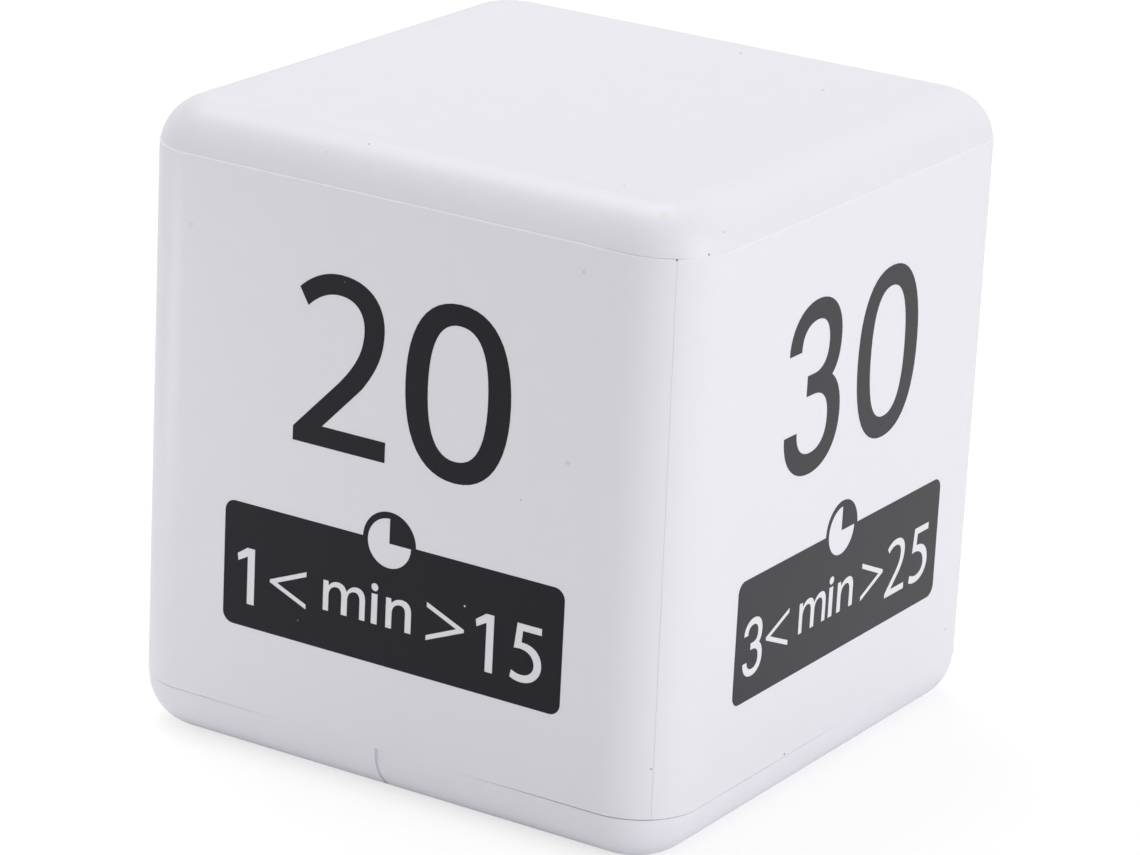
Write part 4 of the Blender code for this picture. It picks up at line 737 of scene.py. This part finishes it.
def panel_outline(left, top, right, bottom, corner, dial, dial_radius):
    """The panel's rounded outline, with the round dial's upper part standing out of its top edge."""
    side = math.degrees(math.asin((dial[1] - top) / dial_radius))
    steps = CORNER_ARC_STEPS
    outline = arc((left + corner, top + corner), corner, start=180, end=90, steps=steps)
    outline += arc(dial, dial_radius, start=180 - side, end=side, steps=DIAL_ARC_STEPS)
    outline += arc((right - corner, top + corner), corner, start=90, end=0, steps=steps)
    outline += arc((right - corner, bottom - corner), corner, start=0, end=-90, steps=steps)
    outline += arc((left + corner, bottom - corner), corner, start=-90, end=-180, steps=steps)
    return outline


def printed(name, loops, quarter):
    """A film of ink in the shape of the outlines, on one face; quarter 0 is the front, then the right."""
    curve = bpy.data.curves.new(name, "CURVE")
    curve.dimensions = "2D"
    curve.fill_mode = "BOTH"
    curve.extrude = INK_DEPTH / 2
    for loop in loops:
        line = curve.splines.new("POLY")
        line.points.add(len(loop) - 1)
        line.use_cyclic_u = True
        for spot, point in zip(line.points, loop):
            spot.co = ((point.x - PRINT_MIDDLE) * UNIT, CUBE_TOP - point.y * UNIT, 0, 1)
    drawn = bpy.data.objects.new("outline", curve)
    bpy.context.scene.collection.objects.link(drawn)
    bpy.context.view_layer.update()
    film = bpy.data.meshes.new_from_object(drawn.evaluated_get(bpy.context.evaluated_depsgraph_get()))
    bpy.data.objects.remove(drawn)
    shape = bmesh.new()
    shape.from_mesh(film)
    bpy.data.meshes.remove(film)
    bmesh.ops.remove_doubles(shape, verts=shape.verts, dist=WELD)
    bmesh.ops.recalc_face_normals(shape, faces=shape.faces)
    upright = Matrix.Rotation(math.pi / 2, 4, "X")
    out = Matrix.Translation((0, INK_DEPTH / 2 - LABEL_HALF, 0))
    shape.transform(Matrix.Rotation(quarter * math.pi / 2, 4, "Z") @ out @ upright)
    return shade(new_object(name, shape))


# Finishes. Each shared effect is a node group that gives out colours or values.
VALUE = "NodeSocketFloat"
VECTOR = "NodeSocketVector"
COLOUR = "NodeSocketColor"
NOISE_MIDDLE = 0.5
FINE_RATIO = 9.0


def group_of(name, sockets_in, sockets_out):
    tree = bpy.data.node_groups.new(name, "ShaderNodeTree")
    for label, kind, start in sockets_in:
        socket = tree.interface.new_socket(name=label, in_out="INPUT", socket_type=kind)
        socket.default_value = start
    for label, kind in sockets_out:
        tree.interface.new_socket(name=label, in_out="OUTPUT", socket_type=kind)
    return tree, tree.nodes.new("NodeGroupInput"), tree.nodes.new("NodeGroupOutput")


def feed(tree, socket, value):
    """Gives a socket its input: another node's socket, or a constant."""
    if isinstance(value, bpy.types.NodeSocket):
        tree.links.new(value, socket)
    else:
        socket.default_value = value


def node(tree, kind, settings=None, **inputs):
    """A node with its settings. An input goes by its name, or by its number as in i0."""
    made = tree.nodes.new(kind)
    for name, value in (settings or {}).items():
        setattr(made, name, value)
    for name, value in inputs.items():
        numbered = name[0] == "i" and name[1:].isdigit()
        feed(tree, made.inputs[int(name[1:]) if numbered else name], value)
    return made


def noise(tree, place, scale, detail):
    return node(tree, "ShaderNodeTexNoise", i0=place, Scale=scale, Detail=detail).outputs[0]


def ramp(tree, value, low, high, start=0.0, end=1.0):
    """The value mapped from the range low to high onto start to end, and held there."""
    made = node(tree, "ShaderNodeMapRange", Value=value)
    for name, limit in (("From Min", low), ("From Max", high), ("To Min", start), ("To Max", end)):
        made.inputs[name].default_value = limit
    return made.outputs[0]


def arithmetic(tree, operation, first, second=0.0):
    return node(tree, "ShaderNodeMath", {"operation": operation}, i0=first, i1=second).outputs[0]


def blend_colours(tree, factor, first, second):
    """Two colours mixed; inputs 6 and 7 and output 2 of the node are its colour sockets."""
    return node(tree, "ShaderNodeMix", {"data_type": "RGBA"}, Factor=factor, i6=first, i7=second).outputs[2]


def mottle_group():
    """Slight unevenness of a colour and a roughness, with a fine bump height."""
    tree, given, out = group_of(
        "Mottle",
        (
            ("Vector", VECTOR, (0, 0, 0)), ("Colour", COLOUR, (1, 1, 1, 1)), ("Depth", VALUE, 0.04),
            ("Scale", VALUE, 300.0), ("Roughness", VALUE, 0.4), ("Spread", VALUE, 0.05),
        ),
        (("Colour", COLOUR), ("Roughness", VALUE), ("Height", VALUE)),
    )
    place, colour, scale = given.outputs["Vector"], given.outputs["Colour"], given.outputs["Scale"]
    coarse = noise(tree, place, scale, detail=3.0)
    fine = noise(tree, place, arithmetic(tree, "MULTIPLY", scale, FINE_RATIO), detail=2.0)
    share = arithmetic(tree, "MULTIPLY", ramp(tree, coarse, low=0.3, high=0.7), given.outputs["Depth"])
    darker = node(tree, "ShaderNodeHueSaturation", Value=0.6, Color=colour).outputs[0]
    tree.links.new(blend_colours(tree, share, colour, darker), out.inputs["Colour"])
    about_middle = arithmetic(tree, "SUBTRACT", fine, NOISE_MIDDLE)
    shift = arithmetic(tree, "MULTIPLY", about_middle, given.outputs["Spread"])
    tree.links.new(arithmetic(tree, "ADD", given.outputs["Roughness"], shift), out.inputs["Roughness"])
    tree.links.new(fine, out.inputs["Height"])
    return tree


def specks_group():
    """A mask of small scattered specks of dust."""
    tree, given, out = group_of(
        "Specks",
        (
            ("Vector", VECTOR, (0, 0, 0)), ("Scale", VALUE, 260.0),
            ("Size", VALUE, 0.06), ("Share", VALUE, 0.12),
        ),
        (("Mask", VALUE),),
    )
    place, scale = given.outputs["Vector"], given.outputs["Scale"]
    cells = node(tree, "ShaderNodeTexVoronoi", Vector=place, Scale=scale)
    near = arithmetic(tree, "LESS_THAN", cells.outputs["Distance"], given.outputs["Size"])
    pick = node(tree, "ShaderNodeSeparateColor", Color=cells.outputs["Color"]).outputs[0]
    chosen = arithmetic(tree, "LESS_THAN", pick, given.outputs["Share"])
    tree.links.new(arithmetic(tree, "MULTIPLY", near, chosen), out.inputs["Mask"])
    return tree


def bar_group():
    """A mask of a bar about a middle, from places across and along, and half a width and a height."""
    tree, given, out = group_of(
        "Bar",
        (
            ("Across", VALUE, 0.0), ("Along", VALUE, 0.0),
            ("Width", VALUE, 0.001), ("Height", VALUE, 0.001),
        ),
        (("Mask", VALUE),),
    )
    inside = []
    for place, reach in (("Across", "Width"), ("Along", "Height")):
        away = arithmetic(tree, "ABSOLUTE", given.outputs[place])
        inside.append(arithmetic(tree, "LESS_THAN", away, given.outputs[reach]))
    tree.links.new(arithmetic(tree, "MULTIPLY", *inside), out.inputs["Mask"])
    return tree


def spot_group():
    """A soft round mask about a point."""
    tree, given, out = group_of(
        "Spot",
        (
            ("Vector", VECTOR, (0, 0, 0)), ("Centre", VECTOR, (0, 0, 0)),
            ("Radius", VALUE, 0.0001),
        ),
        (("Mask", VALUE),),
    )
    place, point = given.outputs["Vector"], given.outputs["Centre"]
    away = node(tree, "ShaderNodeVectorMath", {"operation": "DISTANCE"}, i0=place, i1=point)
    share = arithmetic(tree, "DIVIDE", away.outputs["Value"], given.outputs["Radius"])
    tree.links.new(ramp(tree, share, low=0.5, high=1.0, start=1.0, end=0.0), out.inputs["Mask"])
    return tree


MOTTLE = mottle_group()
SPECKS = specks_group()
BAR = bar_group()
SPOT = spot_group()

BUMP_DISTANCE = 0.0001
DUST_SCALE = 300.0
DUST_SIZE = 0.05


def use_group(tree, group, **inputs):
    made = tree.nodes.new("ShaderNodeGroup")
    made.node_tree = group
    for name, value in inputs.items():
        feed(tree, made.inputs[name], value)
    return made.outputs


def finish(
    name, colour, roughness, metallic=0.0, depth=0.05, scale=300.0, spread=0.05, bump=0.02, **settings
):
    """A material with slight unevenness of colour, roughness and relief."""
    made = bpy.data.materials.new(name)
    made.use_nodes = True
    tree = made.node_tree
    shader = tree.nodes["Principled BSDF"]
    place = node(tree, "ShaderNodeTexCoord").outputs["Object"]
    uneven = use_group(
        tree, MOTTLE, Vector=place, Colour=(*colour, 1.0), Depth=depth, Scale=scale, Roughness=roughness,
        Spread=spread,
    )
    tree.links.new(uneven["Colour"], shader.inputs["Base Color"])
    tree.links.new(uneven["Roughness"], shader.inputs["Roughness"])
    shader.inputs["Metallic"].default_value = metallic
    relief = node(tree, "ShaderNodeBump", Height=uneven["Height"], Distance=BUMP_DISTANCE, Strength=bump)
    tree.links.new(relief.outputs[0], shader.inputs["Normal"])
    for socket, value in settings.items():
        shader.inputs[socket.replace("_", " ")].default_value = value
    return made


def opened(made):
    """A finish's node tree, its shader and its object coordinates."""
    tree = made.node_tree
    place = next(one for one in tree.nodes if one.type == "TEX_COORD").outputs["Object"]
    return tree, tree.nodes["Principled BSDF"], place


def lay_over(tree, shader, mask, colour):
    """Lays a colour over a finish where the mask is 1."""
    under = shader.inputs["Base Color"].links[0].from_socket
    tree.links.new(blend_colours(tree, mask, under, (*colour, 1.0)), shader.inputs["Base Color"])


def dusted(made, tint, share):
    """Adds a few scattered specks to a finish."""
    tree, shader, place = opened(made)
    mask = use_group(tree, SPECKS, Vector=place, Scale=DUST_SCALE, Size=DUST_SIZE, Share=share)["Mask"]
    lay_over(tree, shader, mask, tint)
    return made


def spotted(made, spots):
    """Adds single marks to a finish: each a point, a radius and a colour."""
    tree, shader, place = opened(made)
    for point, radius, colour in spots:
        mask = use_group(tree, SPOT, Vector=place, Centre=point, Radius=radius)["Mask"]
        lay_over(tree, shader, mask, colour)
    return made


def paint_edge_highlight(made, height, colour):
    """Paints a highlight, as paler colour, on what lies above a height: the light that the sheet's cut top
    edge catches from above.
    """
    tree, shader, place = opened(made)
    up = node(tree, "ShaderNodeSeparateXYZ", Vector=place).outputs["Z"]
    lay_over(tree, shader, ramp(tree, up, height, height + WELD), colour)
    return made


DUST = (0.42, 0.41, 0.44)
PALE_DUST = (0.62, 0.61, 0.66)
INK_DUST = (0.16, 0.16, 0.17)
# Colour of the painted highlight along the sheet's top edge
EDGE_HIGHLIGHT_COLOUR = (0.93, 0.925, 0.965)
SHELL_MARKS = (
    ((0.02017, -0.02519, 0.0635), 0.00013, DUST),
    ((0.02226, -0.02438, 0.0635), 0.00008, PALE_DUST),
    ((0.02631, -0.02814, 0.0627), 0.00045, (0.80, 0.81, 0.74)),
    ((0.03028, -0.02439, 0.06099), 0.00016, PALE_DUST),
    ((0.01238, -0.01734, 0.0635), 0.00016, PALE_DUST),
    ((0.03031, -0.02685, 0.05946), 0.00012, (0.20, 0.18, 0.19)),
    ((-0.00577, -0.02804, 0.06304), 0.00013, DUST),
    ((-0.00946, -0.02961, 0.0619), 0.00011, PALE_DUST),
)
LABEL_MARKS = (
    ((0.01993, -0.0310, 0.05666), 0.00022, (0.70, 0.69, 0.75)),
    ((0.01926, -0.0310, 0.03844), 0.00030, (0.72, 0.71, 0.77)),
    ((0.01442, -0.0310, 0.03375), 0.00016, PALE_DUST),
    ((0.0310, -0.0081, 0.00556), 0.00014, (0.10, 0.09, 0.09)),
    ((0.0310, 0.02364, 0.00879), 0.00016, (0.55, 0.57, 0.66)),
    ((0.02876, -0.02917, 0.01038), 0.00014, DUST),
    ((-0.02369, -0.0310, 0.05245), 0.00036, (0.775, 0.77, 0.825)),
)
INK_MARKS = (
    ((0.00883, -0.0310, 0.0220), 0.00012, (0.8, 0.8, 0.8)),
    ((-0.00589, -0.0310, 0.05041), 0.00010, (0.10, 0.085, 0.07)),
    ((-0.01000, -0.0310, 0.01589), 0.00014, (0.09, 0.09, 0.10)),
)

shell_white = finish("MouldedWhite", (0.832, 0.824, 0.884), roughness=0.42, depth=0.03, bump=0.05)
spotted(dusted(shell_white, DUST, share=0.03), SHELL_MARKS)
label_vinyl = finish("LabelVinyl", (0.83, 0.825, 0.875), roughness=0.36, depth=0.02, bump=0.03)
# A painted highlight along the sheet's top edge, for the light it catches from above
paint_edge_highlight(dusted(label_vinyl, DUST, share=0.03), LEDGE_HIGH - TOP_GAP - LABEL_EDGE, EDGE_HIGHLIGHT_COLOUR)
spotted(label_vinyl, LABEL_MARKS)
label_ink = finish(
    "LabelInk", (0.0046, 0.0038, 0.0082), roughness=0.34, depth=0.1, bump=0.03,
    Specular_IOR_Level=0.17, Sheen_Weight=0.52, Sheen_Roughness=0.4,
)
spotted(dusted(label_ink, INK_DUST, share=0.05), INK_MARKS)

# The cells' jacket: a band, a plus and a minus sign, and bare metal at both ends
BAND_START = 0.0096
PLUS_PLACE = 0.0150
MINUS_PLACE = -0.0130
SIGN_LENGTH = 0.0014
SIGN_WIDTH = 0.0003
METAL_RIM = 0.0012
METAL_EDGE = CELL_RADIUS - METAL_RIM
FADE = 0.0001
BAND_GREY = (0.36, 0.38, 0.42)
PLUS_BLACK = (0.02, 0.02, 0.025)
MINUS_WHITE = (0.55, 0.56, 0.58)
STEEL = (0.62, 0.61, 0.58)


def cell_finish():
    """Dark jacket with a pale band, and a plus and a minus mark, at each cell's own ends."""
    made = finish("CellJacket", (0.014, 0.016, 0.022), roughness=0.28, depth=0.15, scale=120.0)
    tree, shader, place = opened(made)
    spot = node(tree, "ShaderNodeSeparateXYZ", Vector=place).outputs
    middle = (CELL_AXES[0].x + CELL_AXES[1].x) / 2
    spacing = (CELL_AXES[0].x - CELL_AXES[1].x) / 2
    side = ramp(tree, spot["X"], middle - WELD, middle + WELD, start=-1.0, end=1.0)
    along = arithmetic(tree, "MULTIPLY", spot["Y"], side)
    from_middle = arithmetic(tree, "ABSOLUTE", arithmetic(tree, "SUBTRACT", spot["X"], middle))
    across = arithmetic(tree, "SUBTRACT", from_middle, spacing)
    lay_over(tree, shader, ramp(tree, along, BAND_START, BAND_START + FADE), BAND_GREY)
    for sign_place, sizes, colour in (
        (PLUS_PLACE, ((SIGN_LENGTH, SIGN_WIDTH), (SIGN_WIDTH, SIGN_LENGTH)), PLUS_BLACK),
        (MINUS_PLACE, ((SIGN_LENGTH, SIGN_WIDTH),), MINUS_WHITE),
    ):
        away = arithmetic(tree, "SUBTRACT", along, sign_place)
        for width, height in sizes:
            bar = use_group(tree, BAR, Across=across, Along=away, Width=width, Height=height)["Mask"]
            lay_over(tree, shader, bar, colour)
    from_axis = arithmetic(tree, "SUBTRACT", spot["Z"], CELL_AXES[0].z)
    squares = [arithmetic(tree, "POWER", way, 2.0) for way in (across, from_axis)]
    radial = arithmetic(tree, "SQRT", arithmetic(tree, "ADD", *squares))
    metal = ramp(tree, radial, METAL_EDGE, METAL_EDGE + FADE, start=1.0, end=0.0)
    lay_over(tree, shader, metal, STEEL)
    tree.links.new(metal, shader.inputs["Metallic"])
    return made


FINISHES = {
    "cell_jacket": cell_finish(),
    "steel": finish(
        "PlatedSteel", STEEL, roughness=0.27, metallic=1.0, depth=0.15, scale=500.0, spread=0.06, bump=0.01
    ),
    "brass": finish(
        "SounderBrass", (0.66, 0.45, 0.18), roughness=0.33, metallic=1.0, depth=0.2, scale=260.0, spread=0.14
    ),
    "ceramic": finish("SounderCeramic", (0.70, 0.64, 0.52), roughness=0.62, depth=0.12, scale=400.0),
    "board": finish("BoardGreen", (0.010, 0.075, 0.028), roughness=0.40, depth=0.35, scale=420.0),
    "black": finish(
        "BlackPlastic", (0.016, 0.016, 0.018), roughness=0.42, depth=0.2, scale=350.0, bump=0.08
    ),
    "foam": finish("BlackFoam", (0.020, 0.020, 0.020), roughness=0.95, depth=0.4, scale=900.0, bump=0.6),
    "red": finish("RedWire", (0.42, 0.015, 0.012), roughness=0.40, depth=0.1, scale=500.0),
    "dark_wire": finish("BlackWire", (0.012, 0.012, 0.012), roughness=0.40, depth=0.1, scale=500.0),
    "ferrite": finish("Ferrite", (0.045, 0.045, 0.050), roughness=0.60, depth=0.3, scale=600.0, bump=0.2),
}
FINISH_STARTS = (
    ("battery_cell", "cell_jacket"), ("piezo_disc", "brass"), ("switch_wiper", "brass"),
    ("piezo_ceramic", "ceramic"), ("piezo_ring", "foam"), ("circuit_board", "board"),
    ("timer_chip", "black"), ("tilt_plug", "black"), ("switch_base", "black"), ("switch_slider", "black"),
    ("filter_capacitor", "black"), ("driver_transistor", "black"), ("chip_resistor", "black"),
    ("driver_coil", "ferrite"), ("lead_negative", "dark_wire"), ("lead_sounder_2", "dark_wire"),
    ("lead_", "red"),
)


def finish_name(name):
    """Which finish a frame node wears: the first start that fits its name, or else steel."""
    return next((value for start, value in FINISH_STARTS if name.startswith(start)), "steel")


def dress(made, material):
    made.data.materials.clear()
    made.data.materials.append(material)


# The pieces that stand in for frame nodes, each with its node, slot, body and finish
STAND_INS = (
    (upper_shell(), "upper_shell", "shell_white", "case", shell_white),
    (lower_shell(), "lower_shell", "shell_white", "case", shell_white),
    (battery_door(), "battery_door", "shell_white", "door", shell_white),
    (label_sheet(), "wrap_label", "label_vinyl", "case", label_vinyl),
    (battery_cell(0, plus_side=1), "battery_cell_right", "cell_jacket", "case", FINISHES["cell_jacket"]),
    (battery_cell(1, plus_side=-1), "battery_cell_left", "cell_jacket", "case", FINISHES["cell_jacket"]),
    (coil_spring(0, base_side=-1), "spring_negative", "contact_steel", "case", FINISHES["steel"]),
    (coil_spring(1, base_side=1), "spring_link", "contact_steel", "case", FINISHES["steel"]),
)
for made, node_name, slot_name, body_name, material in STAND_INS:
    dress(made, material)
    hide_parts(node_name)
    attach(made, body_name)

# Each face in print units: its big digits, the panel, the dial, the dial's white and the small print
FACES = (
    (
        0, "20", ((395, 250, 605, 593), (645, 252, 878, 597)), (244, 745, 1014, 995), (623, 746), (623, 748),
        (
            ("1", 275, 834, 316, 948), ("<", 352, 850, 437, 926), ("m", 476, 853, 573, 916),
            ("i", 586, 834, 602, 916), ("n", 620, 853, 678, 916), (">", 712, 842, 797, 919),
            ("1", 822, 833, 863, 948), ("5", 901, 833, 970, 949),
        ),
    ),
    (
        1, "30", ((376, 252, 582, 597), (643, 252, 876, 597)), (243, 750, 1022, 998), (625, 750), (625, 751),
        (
            ("3", 273, 834, 344, 951), ("<", 356, 854, 441, 930), ("m", 479, 857, 581, 921),
            ("i", 591, 838, 609, 921), ("n", 625, 857, 687, 921), (">", 719, 846, 805, 925),
            ("2", 818, 833, 895, 948), ("5", 915, 834, 987, 950),
        ),
    ),
    (
        2, "60", ((372, 252, 602, 597), (645, 252, 878, 597)), (244, 748, 1018, 996), (624, 748), (624, 750),
        (
            ("1", 260, 834, 301, 948), ("0", 318, 835, 390, 949), ("<", 400, 852, 474, 927),
            ("m", 494, 855, 584, 918), ("i", 598, 836, 614, 918), ("n", 630, 855, 686, 918),
            (">", 706, 846, 780, 922), ("4", 806, 833, 884, 948), ("5", 902, 833, 974, 949),
        ),
    ),
    (
        3, "40", ((360, 252, 600, 595), (645, 252, 878, 597)), (244, 748, 1018, 996), (624, 748), (624, 750),
        (
            ("5", 268, 835, 340, 950), ("<", 356, 852, 440, 928), ("m", 476, 855, 575, 918),
            ("i", 588, 836, 605, 918), ("n", 622, 855, 682, 918), (">", 716, 846, 801, 922),
            ("3", 822, 833, 895, 949), ("5", 914, 834, 988, 950),
        ),
    ),
)
PANEL_CORNER = 23
DIAL_RADIUS = 60
DIAL_WHITE = 49

for quarter, number, digit_boxes, panel, dial, white, small in FACES:
    big = [loop for letter, box in zip(number, digit_boxes) for loop in glyph(letter, *box)]
    loops = [panel_outline(*panel, PANEL_CORNER, dial, DIAL_RADIUS)]
    loops += [loop for letter, *box in small for loop in glyph(letter, *box)]
    loops.append([Vector(white)] + arc(white, DIAL_WHITE, start=90, end=360, steps=DIAL_ARC_STEPS))
    for made in (printed(f"digits_{number}", big, quarter), printed(f"panel_{number}", loops, quarter)):
        dress(made, label_ink)
        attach(made, "case")

replaced = [node_name for _, node_name, *_ in STAND_INS]
for node_name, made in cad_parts.items():
    if node_name not in replaced:
        dress(made, FINISHES[finish_name(node_name)])


# Floor, backdrop, lamps and camera
FLOOR_HALF = 3.0
FLOOR_DEPTH = 0.001
FLOOR_BOUNCE = 0.98
FLOOR_ROUGHNESS = 0.9
FLOOR_SHADE = 0.42
FLOOR_GLOW = 0.68
BACKDROP_LIGHT = 0.484
WHITE = (1, 1, 1, 1)


def grey(value):
    return (value, value, value, 1)


# What the camera sees of the floor glows, so that only the soft shadow shows
floor = new_object("floor", block((-FLOOR_HALF, -FLOOR_HALF, -FLOOR_DEPTH), (FLOOR_HALF, FLOOR_HALF, 0)))
floor_finish = bpy.data.materials.new("FloorWhite")
floor_finish.use_nodes = True
tree = floor_finish.node_tree
bounced = tree.nodes["Principled BSDF"]
bounced.inputs["Base Color"].default_value = grey(FLOOR_BOUNCE)
bounced.inputs["Roughness"].default_value = FLOOR_ROUGHNESS
shadowed = node(tree, "ShaderNodeBsdfDiffuse", Color=grey(FLOOR_SHADE))
glow = node(tree, "ShaderNodeEmission", Color=WHITE, Strength=FLOOR_GLOW)
shown = node(tree, "ShaderNodeAddShader", i0=shadowed.outputs[0], i1=glow.outputs[0])
by_camera = node(tree, "ShaderNodeLightPath").outputs["Is Camera Ray"]
mixed = node(tree, "ShaderNodeMixShader", i0=by_camera, i1=bounced.outputs[0], i2=shown.outputs[0])
tree.links.new(mixed.outputs[0], tree.nodes["Material Output"].inputs["Surface"])
dress(floor, floor_finish)

world = bpy.data.worlds.new("Backdrop")
bpy.context.scene.world = world
world.use_nodes = True
tree = world.node_tree
background = tree.nodes["Background"]
rays = node(tree, "ShaderNodeLightPath").outputs
seen = arithmetic(tree, "MAXIMUM", rays["Is Camera Ray"], rays["Is Glossy Ray"])
seen = arithmetic(tree, "MAXIMUM", seen, rays["Is Transmission Ray"])
strength = ramp(tree, seen, low=0.0, high=1.0, start=BACKDROP_LIGHT, end=1.0)
tree.links.new(strength, background.inputs["Strength"])
background.inputs["Color"].default_value = WHITE


def lamp(name, place, aim, size, power):
    data = bpy.data.lights.new(name, "AREA")
    data.shape = "SQUARE"
    data.size = size
    data.energy = power
    made = bpy.data.objects.new(name, data)
    bpy.context.scene.collection.objects.link(made)
    made.location = place
    made.rotation_euler = (Vector(aim) - Vector(place)).to_track_quat("-Z", "Y").to_euler()


middle = (0, 0, CUBE_TOP / 2)
lamp("lamp_right", place=(1.20, -0.10, 0.35), aim=middle, size=1.00, power=7.07)
lamp("lamp_over", place=(-0.25, 0.10, 0.75), aim=middle, size=0.50, power=2.41)
lamp("lamp_left", place=(-0.10, -0.08, 0.010), aim=(0, -0.03, 0.010), size=0.04, power=0.012)

# The camera that the photograph's outline gave, with its own axes in the frame
CAMERA_PLACE = Vector((0.23489, -0.37944, 0.18128))
CAMERA_RIGHT = Vector((0.8407846, 0.5392663, 0.0476777))
CAMERA_UP = Vector((-0.2120922, 0.2470852, 0.9454976))
CAMERA_FORWARD = Vector((-0.4980946, 0.8050719, -0.3221196))

camera_data = bpy.data.cameras.new("camera")
camera_data.lens = 151.40
camera_data.sensor_width = 36.0
camera_data.clip_start = 0.01
camera = bpy.data.objects.new("camera", camera_data)
bpy.context.scene.collection.objects.link(camera)
bpy.context.scene.camera = camera
turn = Matrix((CAMERA_RIGHT, CAMERA_UP, -CAMERA_FORWARD)).transposed()
camera.matrix_world = Matrix.Translation(CAMERA_PLACE) @ turn.to_4x4()

bpy.context.scene.view_settings.view_transform = "Standard"
